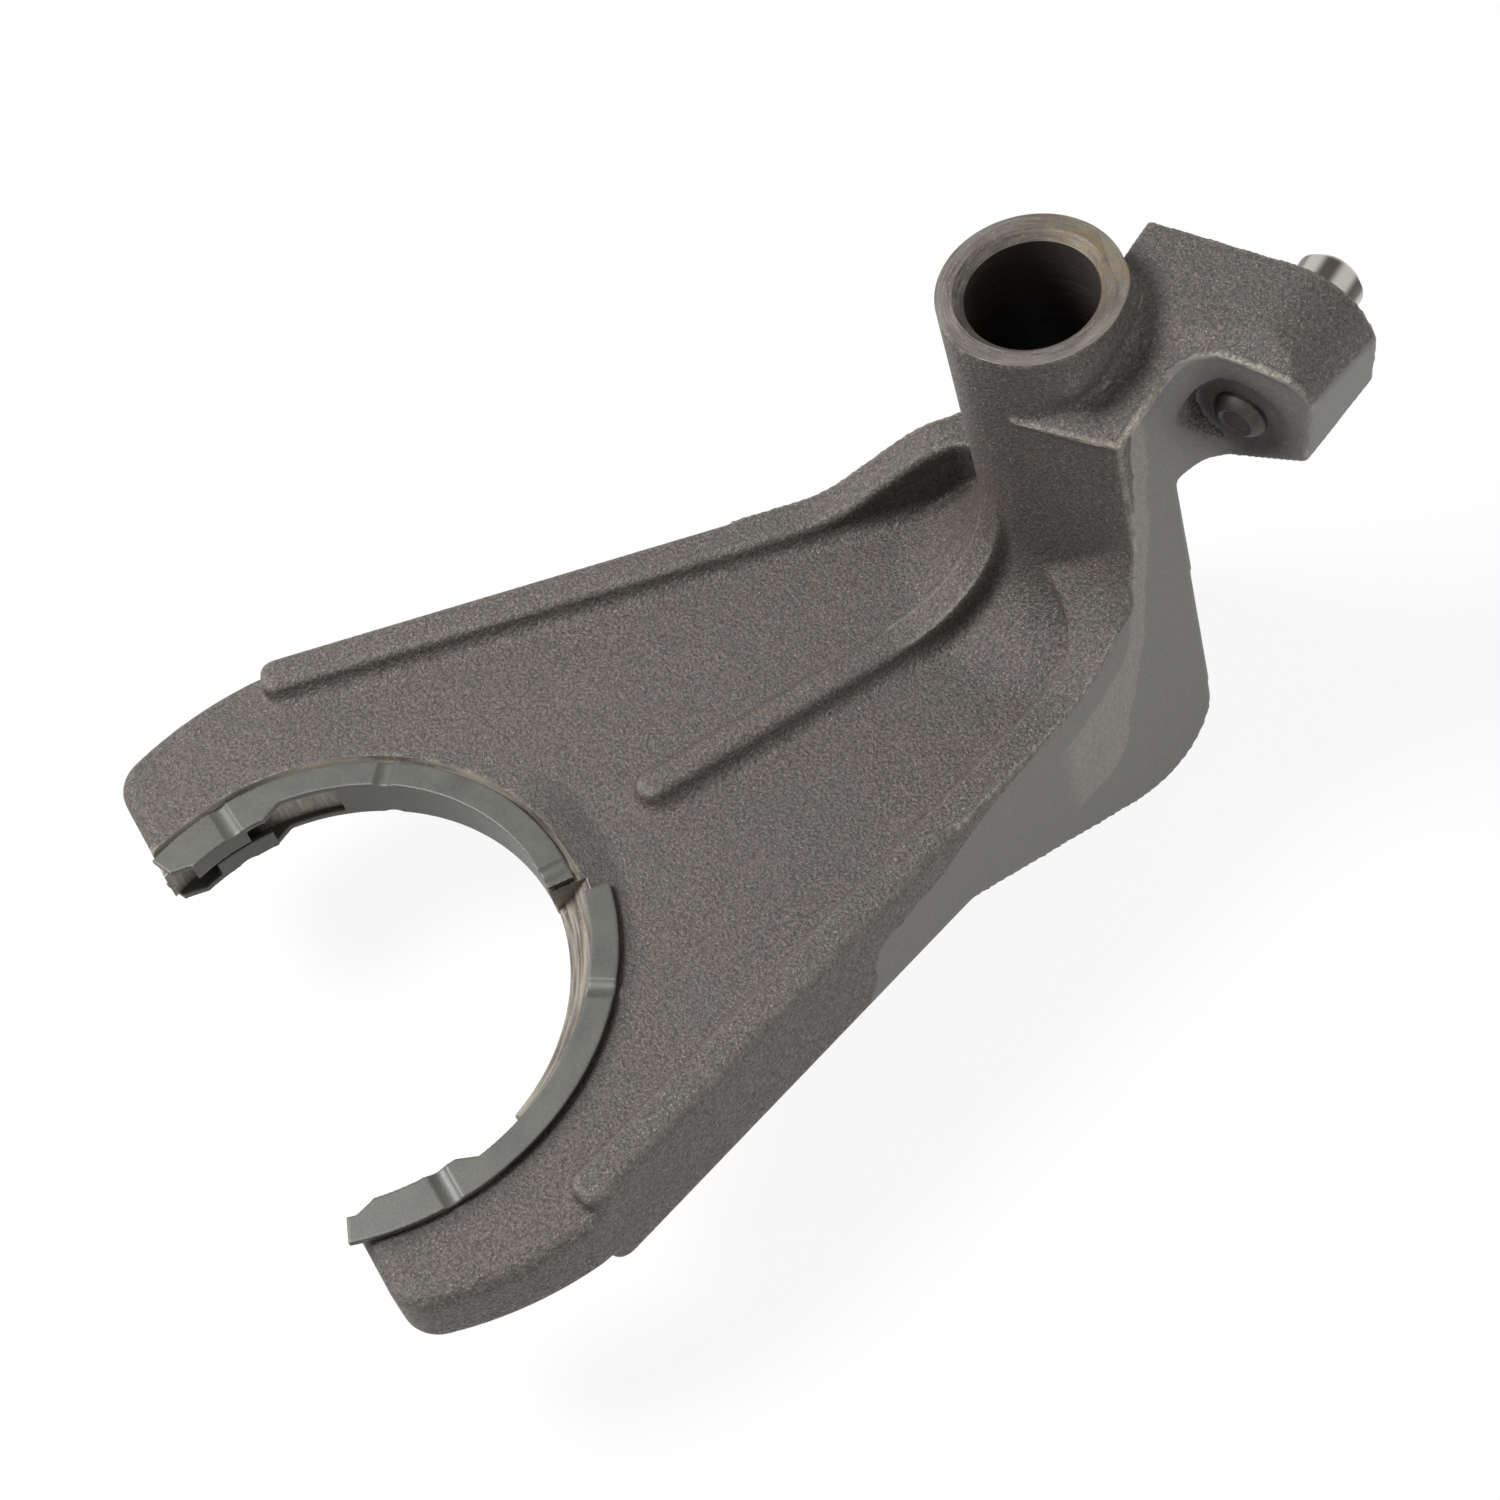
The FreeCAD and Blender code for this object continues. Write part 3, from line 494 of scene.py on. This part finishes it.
def forged_scale():
    """Drop-forged steel, tumbled and lightly oiled: a dull grey-brown skin with a fine pebble grain and
    bright specks, partly painted glints; bright where edges are rubbed, partly painted highlight; smooth
    and greyer where the flash was sheared off; painted shadow beside the arm side's facing and painted
    shade round the pin."""
    material, tree, shader, place = start_material("drop forged steel")
    x = add(tree, "SeparateXYZ", {0: place}, "X")
    z = add(tree, "SeparateXYZ", {0: place}, "Z")
    grain = add(tree, "TexNoise", {"Vector": place, "Scale": 1 / (0.65 * MM), "Detail": 3.0,
                                   "Roughness": 0.7})
    fine = add(tree, "TexNoise", {"Vector": place, "Scale": 1 / (0.35 * MM), "Detail": 1.0})
    cloud = add(tree, "TexNoise", {"Vector": place, "Scale": 1 / (16 * MM), "Detail": 4.0,
                                   "Roughness": 0.6})
    wave = add(tree, "TexNoise", {"Vector": place, "Scale": 1 / (5 * MM), "Detail": 2.0})
    patch = add(tree, "TexNoise", {"Vector": place, "Scale": 1 / (24 * MM), "Detail": 3.0})
    dots = add(tree, "TexNoise", {"Vector": place, "Scale": 1 / (1.3 * MM), "Detail": 3.0})
    broken = add(tree, "TexNoise", {"Vector": place, "Scale": 1 / (0.9 * MM), "Detail": 3.0,
                                    "Roughness": 0.7})
    wear = add(tree, "Attribute", {}, "Fac", attribute_name="wear")
    trimmed = add(tree, "Attribute", {}, "Fac", attribute_name="trimmed")
    wobble = add(tree, "MapRange", {"Value": wave, "From Min": 0.3, "From Max": 0.7,
                                    "To Min": -0.6 * MM, "To Max": 0.6 * MM})
    jitter = add(tree, "MapRange", {"Value": broken, "From Min": 0.3, "From Max": 0.7,
                                    "To Min": -0.5 * MM, "To Max": 0.5 * MM})

    # Where the side wall and arm face were trimmed smooth, and the paler patch beside them
    past = {}
    for name in ("strip", "pale", "plain"):
        stored = add(tree, "Attribute", {}, "Fac", attribute_name=name)
        past[name] = add(tree, "Math", {0: stored, 1: wobble}, operation="ADD")
    strip = add(tree, "MapRange", {"Value": past["strip"], "From Min": -0.3 * MM, "From Max": 0.3 * MM})
    pale = add(tree, "MapRange", {"Value": past["pale"], "From Min": -0.3 * MM, "From Max": 0.3 * MM})
    plain = add(tree, "MapRange", {"Value": past["plain"], "From Min": 0.3 * MM, "From Max": -0.3 * MM})
    front = add(tree, "MapRange", {"Value": x, "From Min": -27 * MM, "From Max": -23 * MM})
    bottom = add(tree, "MapRange", {"Value": z, "From Min": -15.5 * MM, "From Max": -14.5 * MM})
    smooth = add(tree, "Math", {0: trimmed, 1: strip}, operation="MULTIPLY")
    pale = add(tree, "Math", {0: pale, 1: plain}, operation="MULTIPLY")
    pale = add(tree, "Math", {0: pale, 1: bottom}, operation="MULTIPLY")
    pale = add(tree, "Math", {0: pale, 1: front}, operation="MULTIPLY")
    line = add(tree, "Math", {0: past["strip"]}, operation="ABSOLUTE")
    line = add(tree, "MapRange", {"Value": line, "From Min": 0.15 * MM, "From Max": 0.5 * MM,
                                  "To Min": 0.7, "To Max": 0.0})
    line = add(tree, "Math", {0: line, 1: trimmed}, operation="MULTIPLY")

    # Rubbed edges with painted highlight along them: all sharp ones a little, the flash ridge and the
    # tower's corner most
    rubbed = add(tree, "MapRange", {"Value": wear, "From Min": 150.0, "From Max": 700.0, "To Max": 0.5})
    for name, width, strength in (("ridge", 0.4 * MM, 0.85), ("corner", 0.4 * MM, 0.6)):
        stored = add(tree, "Attribute", {}, "Fac", attribute_name=name)
        stored = add(tree, "Math", {0: stored, 1: jitter}, operation="ADD")
        stored = add(tree, "MapRange", {"Value": stored, "From Min": width, "From Max": width + 0.5 * MM,
                                        "To Min": strength, "To Max": 0.0})
        rubbed = add(tree, "Math", {0: rubbed, 1: stored}, operation="MAXIMUM")
    gaps = add(tree, "MapRange", {"Value": broken, "From Min": 0.34, "From Max": 0.56, "To Min": 0.15,
                                  "To Max": 0.8})
    rubbed = add(tree, "Math", {0: rubbed, 1: gaps}, operation="MULTIPLY")
    stretches = add(tree, "MapRange", {"Value": wave, "From Min": 0.36, "From Max": 0.56, "To Min": 0.35})
    rubbed = add(tree, "Math", {0: rubbed, 1: stretches}, operation="MULTIPLY")

    # Painted shadow beside the arm side's facing, where its proud edge would shade the plate, and painted
    # shade round the pin
    radius, bearing = about(tree, place, THROAT)[:2]
    painted_shadow_by_facing = add(tree, "MapRange", {"Value": radius, "From Min": 51.0 * MM, "From Max": 54.0 * MM,
                                 "To Min": 0.6, "To Max": 0.0}, interpolation_type="SMOOTHSTEP")
    arm_side = add(tree, "MapRange", {"Value": bearing, "From Min": 0.35, "From Max": 0.15})
    painted_shadow_by_facing = add(tree, "Math", {0: painted_shadow_by_facing, 1: arm_side}, operation="MULTIPLY")
    # painted shade on the arm's near face round the pin
    from_pin = add(tree, "VectorMath", {0: place, 1: PIN_FACE}, "Value", operation="DISTANCE")
    painted_shade_round_pin = add(tree, "MapRange", {"Value": from_pin, "From Min": 6.0 * MM, "From Max": 14.0 * MM,
                                       "To Min": 0.75, "To Max": 0.0}, interpolation_type="SMOOTHSTEP")

    grain_tone = add(tree, "MapRange", {"Value": grain, "From Min": 0.36, "From Max": 0.66})
    cloud_tone = add(tree, "MapRange", {"Value": cloud, "From Min": 0.35, "From Max": 0.7, "To Max": 0.4})
    # bright specks: partly bright grains of the scale, partly painted glints
    speck = add(tree, "MapRange", {"Value": fine, "From Min": 0.60, "From Max": 0.74, "To Max": 0.4})
    dull = add(tree, "MapRange", {"Value": grain, "From Min": 0.36, "From Max": 0.64, "To Max": 0.6})
    rust_dots = add(tree, "MapRange", {"Value": dots, "From Min": 0.60, "From Max": 0.74, "To Max": 0.4})
    rust_place = add(tree, "MapRange", {"Value": patch, "From Min": 0.52, "From Max": 0.66})
    rust = add(tree, "Math", {0: rust_dots, 1: rust_place}, operation="MULTIPLY")
    skin = add(tree, "Mix", {0: grain_tone, 6: "#322e2b", 7: "#605954"}, 2, data_type="RGBA")
    skin = add(tree, "Mix", {0: cloud_tone, 6: skin, 7: "#423e3b"}, 2, data_type="RGBA")
    skin = add(tree, "Mix", {0: speck, 6: skin, 7: "#b3ada4"}, 2, data_type="RGBA")
    # painted shadow beside the arm side's facing
    skin = add(tree, "Mix", {0: painted_shadow_by_facing, 6: skin, 7: "#262321"}, 2, data_type="RGBA")
    sheared = add(tree, "Mix", {0: pale, 6: "#6c6b69", 7: "#827c75"}, 2, data_type="RGBA")
    sheared = add(tree, "Mix", {0: dull, 6: sheared, 7: "#4b4948"}, 2, data_type="RGBA")
    # painted shade round the pin
    sheared = add(tree, "Mix", {0: painted_shade_round_pin, 6: sheared, 7: "#2b2726"}, 2, data_type="RGBA")
    colour = add(tree, "Mix", {0: smooth, 6: skin, 7: sheared}, 2, data_type="RGBA")
    colour = add(tree, "Mix", {0: line, 6: colour, 7: "#34312f"}, 2, data_type="RGBA")
    colour = add(tree, "Mix", {0: rust, 6: colour, 7: "#7a5534"}, 2, data_type="RGBA")
    # rubbed edges, partly painted highlight
    colour = add(tree, "Mix", {0: rubbed, 6: colour, 7: "#b5b0a0"}, 2, data_type="RGBA")

    gloss = add(tree, "MapRange", {"Value": grain, "From Min": 0.3, "From Max": 0.7, "To Min": 0.60,
                                   "To Max": 0.38})
    relief = add(tree, "MapRange", {"Value": smooth, "To Min": 1.0, "To Max": 0.3})
    height = add(tree, "Math", {0: grain, 1: 0.40 * MM}, operation="MULTIPLY")
    height = add(tree, "Math", {0: fine, 1: 0.08 * MM, 2: height}, operation="MULTIPLY_ADD")
    height = add(tree, "Math", {0: wave, 1: 0.25 * MM, 2: height}, operation="MULTIPLY_ADD")
    height = add(tree, "Math", {0: height, 1: relief}, operation="MULTIPLY")
    bump = add(tree, "Bump", {"Distance": 1.0, "Height": height})
    feed(tree, shader, {"Base Color": colour, "Metallic": 0.2, "Roughness": gloss, "Normal": bump})
    return material


def turned_steel():
    """Turned and chamfered hub ends: grey steel with rings from the tool, dulled, stained and with a
    yellow bloom of rust on one side."""
    material, tree, shader, place = start_material("turned steel")
    radius, bearing = about(tree, place, Vector((0, 0, 0)))[:2]
    across = add(tree, "Math", {0: radius, 1: 1 / (0.35 * MM)}, operation="MULTIPLY")
    along = add(tree, "Math", {0: bearing, 1: 2.5}, operation="MULTIPLY")
    path = add(tree, "CombineXYZ", {"X": across, "Y": along})
    rings = add(tree, "TexNoise", {"Vector": path, "Scale": 1.0, "Detail": 3.0})
    stain = add(tree, "TexNoise", {"Vector": place, "Scale": 1 / (3.5 * MM), "Detail": 4.0,
                                   "Roughness": 0.65})
    fine = add(tree, "TexNoise", {"Vector": place, "Scale": 1 / (0.5 * MM), "Detail": 2.0})
    bloom = add(tree, "TexNoise", {"Vector": place, "Scale": 1 / (2.2 * MM), "Detail": 4.0,
                                   "Roughness": 0.7})
    wear = add(tree, "Attribute", {}, "Fac", attribute_name="wear")
    ring_tone = add(tree, "MapRange", {"Value": rings, "From Min": 0.3, "From Max": 0.7})
    stained = add(tree, "MapRange", {"Value": stain, "From Min": 0.40, "From Max": 0.62, "To Max": 0.6})
    speck = add(tree, "MapRange", {"Value": fine, "From Min": 0.6, "From Max": 0.8, "To Max": 0.4})
    side = add(tree, "MapRange", {"Value": bearing, "From Min": 1.3, "From Max": 0.2})
    side_low = add(tree, "MapRange", {"Value": bearing, "From Min": -1.4, "From Max": -0.7})
    rust = add(tree, "MapRange", {"Value": bloom, "From Min": 0.40, "From Max": 0.60, "To Max": 0.7})
    rust = add(tree, "Math", {0: rust, 1: side}, operation="MULTIPLY")
    rust = add(tree, "Math", {0: rust, 1: side_low}, operation="MULTIPLY")
    rubbed = add(tree, "MapRange", {"Value": wear, "From Min": 300.0, "From Max": 1400.0, "To Max": 0.5})
    colour = add(tree, "Mix", {0: ring_tone, 6: "#453f3b", 7: "#7a746d"}, 2, data_type="RGBA")
    colour = add(tree, "Mix", {0: stained, 6: colour, 7: "#4e4844"}, 2, data_type="RGBA")
    colour = add(tree, "Mix", {0: speck, 6: colour, 7: "#b8b2a8"}, 2, data_type="RGBA")
    colour = add(tree, "Mix", {0: rust, 6: colour, 7: "#746542"}, 2, data_type="RGBA")
    colour = add(tree, "Mix", {0: rubbed, 6: colour, 7: "#b3aea6"}, 2, data_type="RGBA")
    gloss = add(tree, "MapRange", {"Value": stain, "From Min": 0.3, "From Max": 0.7, "To Min": 0.42,
                                   "To Max": 0.6})
    height = add(tree, "Math", {0: rings, 1: 0.03 * MM}, operation="MULTIPLY")
    height = add(tree, "Math", {0: fine, 1: 0.03 * MM, 2: height}, operation="MULTIPLY_ADD")
    bump = add(tree, "Bump", {"Distance": 1.0, "Height": height})
    feed(tree, shader, {"Base Color": colour, "Metallic": 0.4, "Roughness": gloss, "Normal": bump})
    return material


def bored_steel():
    """Drilled and reamed rail bore: very dark steel, partly painted shade of the deep hole, with rings
    from the reamer down its wall and painted light paler towards its upper mouth.
    """
    material, tree, shader, place = start_material("reamed steel")
    bearing, z = about(tree, place, Vector((0, 0, 0)))[1:]
    down = add(tree, "Math", {0: z, 1: 1 / (0.7 * MM)}, operation="MULTIPLY")
    along = add(tree, "Math", {0: bearing, 1: 0.8}, operation="MULTIPLY")
    path = add(tree, "CombineXYZ", {"X": down, "Y": along})
    rings = add(tree, "TexNoise", {"Vector": path, "Scale": 1.0, "Detail": 2.0})
    ring_tone = add(tree, "MapRange", {"Value": rings, "From Min": 0.35, "From Max": 0.7})
    # painted light: paler towards the upper mouth, leaving the depth as painted shade
    mouth = add(tree, "MapRange", {"Value": z, "From Min": 50 * MM, "From Max": 76 * MM, "To Max": 0.6})
    colour = add(tree, "Mix", {0: ring_tone, 6: "#1c1817", 7: "#433d3a"}, 2, data_type="RGBA")
    colour = add(tree, "Mix", {0: mouth, 6: colour, 7: "#5d5650"}, 2, data_type="RGBA")
    height = add(tree, "Math", {0: rings, 1: 0.05 * MM}, operation="MULTIPLY")
    bump = add(tree, "Bump", {"Distance": 1.0, "Height": height})
    feed(tree, shader, {"Base Color": colour, "Metallic": 0.4, "Roughness": 0.45, "Normal": bump})
    return material


def milled_steel():
    """Throat as it was milled: grey steel, faint upright cutter marks on its wall and arcs on its land,
    with a few rust specks."""
    material, tree, shader, place = start_material("milled steel")
    radius, bearing, z = about(tree, place, THROAT)
    normal = add(tree, "NewGeometry", {}, "Normal")
    upright = add(tree, "SeparateXYZ", {0: normal}, "Z")
    upright = add(tree, "Math", {0: upright}, operation="ABSOLUTE")
    flat = add(tree, "MapRange", {"Value": upright, "From Min": 0.3, "From Max": 0.6})
    turns = add(tree, "Math", {0: bearing, 1: 60.0}, operation="MULTIPLY")
    rise = add(tree, "Math", {0: z, 1: 1 / (9 * MM)}, operation="MULTIPLY")
    lines = add(tree, "CombineXYZ", {"X": turns, "Y": rise})
    wall = add(tree, "TexNoise", {"Vector": lines, "Scale": 1.6, "Detail": 3.0})
    across = add(tree, "Math", {0: radius, 1: 1 / (0.7 * MM)}, operation="MULTIPLY")
    along = add(tree, "Math", {0: bearing, 1: 3.0}, operation="MULTIPLY")
    arcs = add(tree, "CombineXYZ", {"X": across, "Y": along})
    land = add(tree, "TexNoise", {"Vector": arcs, "Scale": 1.0, "Detail": 3.0})
    wall = add(tree, "MapRange", {"Value": wall, "To Min": 0.28, "To Max": 0.72})
    marks = add(tree, "Mix", {0: flat, 2: wall, 3: land}, 0, data_type="FLOAT")
    fine = add(tree, "TexNoise", {"Vector": place, "Scale": 1 / (0.6 * MM), "Detail": 3.0})
    dots = add(tree, "TexNoise", {"Vector": place, "Scale": 1 / (1.6 * MM), "Detail": 3.0,
                                  "Roughness": 0.7})
    mark_tone = add(tree, "MapRange", {"Value": marks, "From Min": 0.38, "From Max": 0.62})
    speck = add(tree, "MapRange", {"Value": fine, "From Min": 0.55, "From Max": 0.75, "To Max": 0.4})
    rust = add(tree, "MapRange", {"Value": dots, "From Min": 0.60, "From Max": 0.70, "To Max": 0.6})
    colour = add(tree, "Mix", {0: mark_tone, 6: "#524e47", 7: "#928c81"}, 2, data_type="RGBA")
    colour = add(tree, "Mix", {0: speck, 6: colour, 7: "#ada79c"}, 2, data_type="RGBA")
    colour = add(tree, "Mix", {0: rust, 6: colour, 7: "#8a5a32"}, 2, data_type="RGBA")
    height = add(tree, "Math", {0: marks, 1: 0.03 * MM}, operation="MULTIPLY")
    height = add(tree, "Math", {0: fine, 1: 0.04 * MM, 2: height}, operation="MULTIPLY_ADD")
    bump = add(tree, "Bump", {"Distance": 1.0, "Height": height})
    feed(tree, shader, {"Base Color": colour, "Metallic": 0.4, "Roughness": 0.5, "Normal": bump})
    return material


def ground_pin():
    """Ground bar steel, turned and pressed in: bright head with fine rings and painted reflection, light
    and dull bands painted round its barrel by bearing, and a dark oily peened end."""
    material, tree, shader, place = start_material("ground pin steel")
    moved = add(tree, "VectorMath", {0: place, 1: PIN_FACE}, operation="SUBTRACT")
    along = add(tree, "VectorMath", {0: moved, 1: PIN_DIR}, "Value", operation="DOT_PRODUCT")
    level = PIN_DIR.cross(UP)
    side = add(tree, "VectorMath", {0: moved, 1: level}, "Value", operation="DOT_PRODUCT")
    rise = add(tree, "SeparateXYZ", {0: moved}, "Z")
    bearing = add(tree, "Math", {0: side, 1: rise}, operation="ARCTAN2")
    # painted reflection: light and dull bands set by bearing round the barrel, faded off at the end face
    painted_reflection_streaks = add(tree, "Math", {0: bearing, 1: -6.0, 2: -0.36}, operation="MULTIPLY_ADD")
    painted_reflection_streaks = add(tree, "Math", {0: painted_reflection_streaks}, operation="SINE")
    barrel = add(tree, "MapRange", {"Value": along, "From Min": PIN_LENGTH - 0.3 * MM,
                                    "From Max": PIN_LENGTH - 0.1 * MM, "To Min": 1.0, "To Max": 0.0})
    painted_reflection_streaks = add(tree, "Math", {0: painted_reflection_streaks, 1: barrel}, operation="MULTIPLY")
    off_axis = add(tree, "VectorMath", {0: moved, 1: PIN_DIR}, operation="CROSS_PRODUCT")
    radius = add(tree, "VectorMath", {0: off_axis}, "Value", operation="LENGTH")
    turned = add(tree, "Math", {0: along, 1: radius}, operation="ADD")
    rings = add(tree, "TexNoise", {"W": turned, "Scale": 1 / (0.5 * MM), "Detail": 3.0},
                noise_dimensions="1D")
    stain = add(tree, "TexNoise", {"Vector": place, "Scale": 1 / (2.0 * MM), "Detail": 4.0,
                                   "Roughness": 0.7})
    wear = add(tree, "Attribute", {}, "Fac", attribute_name="wear")
    head = add(tree, "MapRange", {"Value": along, "From Min": 17 * MM, "From Max": 19 * MM})
    stained = add(tree, "MapRange", {"Value": stain, "From Min": 0.35, "From Max": 0.65})
    painted_reflection_tone = add(tree, "MapRange", {"Value": painted_reflection_streaks, "From Min": -0.8, "From Max": 0.8},
                      interpolation_type="SMOOTHSTEP")
    rubbed = add(tree, "MapRange", {"Value": wear, "From Min": 350.0, "From Max": 1500.0, "To Max": 0.4})
    rubbed = add(tree, "Math", {0: rubbed, 1: head}, operation="MULTIPLY")
    dark = add(tree, "Mix", {0: stained, 6: "#171413", 7: "#37312f"}, 2, data_type="RGBA")
    # painted reflection along the barrel
    bright = add(tree, "Mix", {0: painted_reflection_tone, 6: "#4b4643", 7: "#bab6b0"}, 2, data_type="RGBA")
    colour = add(tree, "Mix", {0: head, 6: dark, 7: bright}, 2, data_type="RGBA")
    colour = add(tree, "Mix", {0: rubbed, 6: colour, 7: "#a9a29a"}, 2, data_type="RGBA")
    gloss = add(tree, "MapRange", {"Value": head, "To Min": 0.5, "To Max": 0.28})
    shine = add(tree, "MapRange", {"Value": head, "To Min": 0.1, "To Max": 0.9})
    height = add(tree, "Math", {0: rings, 1: 0.004 * MM}, operation="MULTIPLY")
    bump = add(tree, "Bump", {"Distance": 1.0, "Height": height})
    feed(tree, shader, {"Base Color": colour, "Metallic": shine, "Roughness": gloss, "Normal": bump})
    return material


def phosphated_sheet():
    """Pressed steel strip with a phosphate coat: smooth grey-green, rubbed pale along its edges."""
    material, tree, shader, place = start_material("phosphated strip")
    cloud = add(tree, "TexNoise", {"Vector": place, "Scale": 1 / (7 * MM), "Detail": 3.0,
                                   "Roughness": 0.6})
    fine = add(tree, "TexNoise", {"Vector": place, "Scale": 1 / (0.45 * MM), "Detail": 2.0})
    wear = add(tree, "Attribute", {}, "Fac", attribute_name="wear")
    cloud_tone = add(tree, "MapRange", {"Value": cloud, "From Min": 0.3, "From Max": 0.7})
    speck = add(tree, "MapRange", {"Value": fine, "From Min": 0.35, "From Max": 0.75, "To Max": 0.3})
    rubbed = add(tree, "MapRange", {"Value": wear, "From Min": 500.0, "From Max": 2200.0, "To Max": 0.4})
    colour = add(tree, "Mix", {0: cloud_tone, 6: "#3b3b37", 7: "#4b4b45"}, 2, data_type="RGBA")
    colour = add(tree, "Mix", {0: speck, 6: colour, 7: "#5e5c56"}, 2, data_type="RGBA")
    colour = add(tree, "Mix", {0: rubbed, 6: colour, 7: "#7d7a73"}, 2, data_type="RGBA")
    gloss = add(tree, "MapRange", {"Value": cloud, "From Min": 0.3, "From Max": 0.7, "To Min": 0.40,
                                   "To Max": 0.5})
    height = add(tree, "Math", {0: fine, 1: 0.02 * MM}, operation="MULTIPLY")
    bump = add(tree, "Bump", {"Distance": 1.0, "Height": height})
    feed(tree, shader, {"Base Color": colour, "Metallic": 0.15, "Roughness": gloss, "Normal": bump})
    return material


forged = forged_scale()
turned = turned_steel()
bored = bored_steel()
milled = milled_steel()
pin_steel = ground_pin()
sheet = phosphated_sheet()

for piece, node, slot in ((make_body(), "fork_body", "forging"),
                          (make_pin(), "shift_pin", "pin_steel"),
                          (make_facing("facing_far_side", "far_clip"), "facing_far_side", "facing"),
                          (make_facing("facing_arm_side", "arm_clip"), "facing_arm_side", "facing")):
    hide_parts(node)
    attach(piece, "root")

# Camera, worked out from the photo's circles and straight edges
CAMERA_PLACE = Vector((-153.95, -381.25, 561.18)) * MM
CAMERA_TURN = Vector((2.4289, -0.7119, -0.0525))
LENS_MM = 94.85
SENSOR_MM = 36.0
cam = bpy.data.cameras.new("camera")
cam_ob = bpy.data.objects.new("camera", cam)
bpy.context.scene.collection.objects.link(cam_ob)
cam.lens = LENS_MM
cam.sensor_width = SENSOR_MM
world_to_cam = Matrix.Rotation(CAMERA_TURN.length, 3, CAMERA_TURN)
flip = Matrix(((1, 0, 0), (0, -1, 0), (0, 0, -1)))
cam_ob.matrix_world = Matrix.Translation(CAMERA_PLACE) @ (flip @ world_to_cam).inverted().to_4x4()
bpy.context.scene.camera = cam_ob


def sees_white(tree):
    """One for rays that see the backdrop as plain white, without more light falling on the part."""
    camera = add(tree, "LightPath", {}, "Is Camera Ray")
    glossy = add(tree, "LightPath", {}, "Is Glossy Ray")
    through = add(tree, "LightPath", {}, "Is Transmission Ray")
    either = add(tree, "Math", {0: camera, 1: glossy}, operation="MAXIMUM")
    return add(tree, "Math", {0: either, 1: through}, operation="MAXIMUM")


# Floor of white paper: what isn't plain white in it takes the part's shadow
WHITE_SHARE = 0.92
clear_selection()
bpy.ops.mesh.primitive_plane_add(size=6, location=(0, 0, BODY_LOW.z - 1 * MM))
floor = settle(bpy.context.object, "floor")
paper, paper_tree, paper_shader, paper_place = start_material("white paper")
fibre = add(paper_tree, "TexNoise", {"Vector": paper_place, "Scale": 1 / (40 * MM), "Detail": 2.0})
tone = add(paper_tree, "Mix", {0: fibre, 6: "#f6f6f6", 7: "#f8f8f8"}, 2, data_type="RGBA")
feed(paper_tree, paper_shader, {"Base Color": tone, "Roughness": 0.9})
share = add(paper_tree, "Math", {0: sees_white(paper_tree), 1: WHITE_SHARE}, operation="MULTIPLY")
glow = add(paper_tree, "Emission", {"Color": "#ffffff", "Strength": 1.0})
pale_paper = add(paper_tree, "MixShader", {0: share, 1: paper_shader.outputs[0], 2: glow})
feed(paper_tree, paper_tree.nodes["Material Output"], {"Surface": pale_paper})
floor.data.materials.append(paper)


def lamp(name, way, distance, size, energy):
    """A round soft lamp, a distance away from the part on one side of it."""
    light = bpy.data.lights.new(name, "AREA")
    light.shape = "DISK"
    light.size = size
    light.energy = energy
    holder = bpy.data.objects.new(name, light)
    bpy.context.scene.collection.objects.link(holder)
    holder.location = LAMP_AIM + way.normalized() * distance
    holder.rotation_euler = way.to_track_quat("Z", "Y").to_euler()


# One soft lamp above and a little behind to the left, and a weaker one low at the side wall
LAMP_AIM = Vector((-0.06, 0, 0.02))
lamp("softbox", Vector((-0.47, 0.34, 0.81)), distance=0.9, size=0.42, energy=12)
lamp("side fill", Vector((0.50, -0.86, 0.06)), distance=1.2, size=0.4, energy=5.5)

world = bpy.data.worlds.new("studio")
bpy.context.scene.world = world
world.use_nodes = True
sky = world.node_tree
sky.nodes.clear()
dim = add(sky, "Background", {"Color": "#ffffff", "Strength": 0.15})
white = add(sky, "Background", {"Color": "#ffffff", "Strength": 1.0})
both = add(sky, "MixShader", {0: sees_white(sky), 1: dim, 2: white})
world_output = sky.nodes.new("ShaderNodeOutputWorld")
feed(sky, world_output, {"Surface": both})
bpy.context.scene.view_settings.view_transform = "Standard"
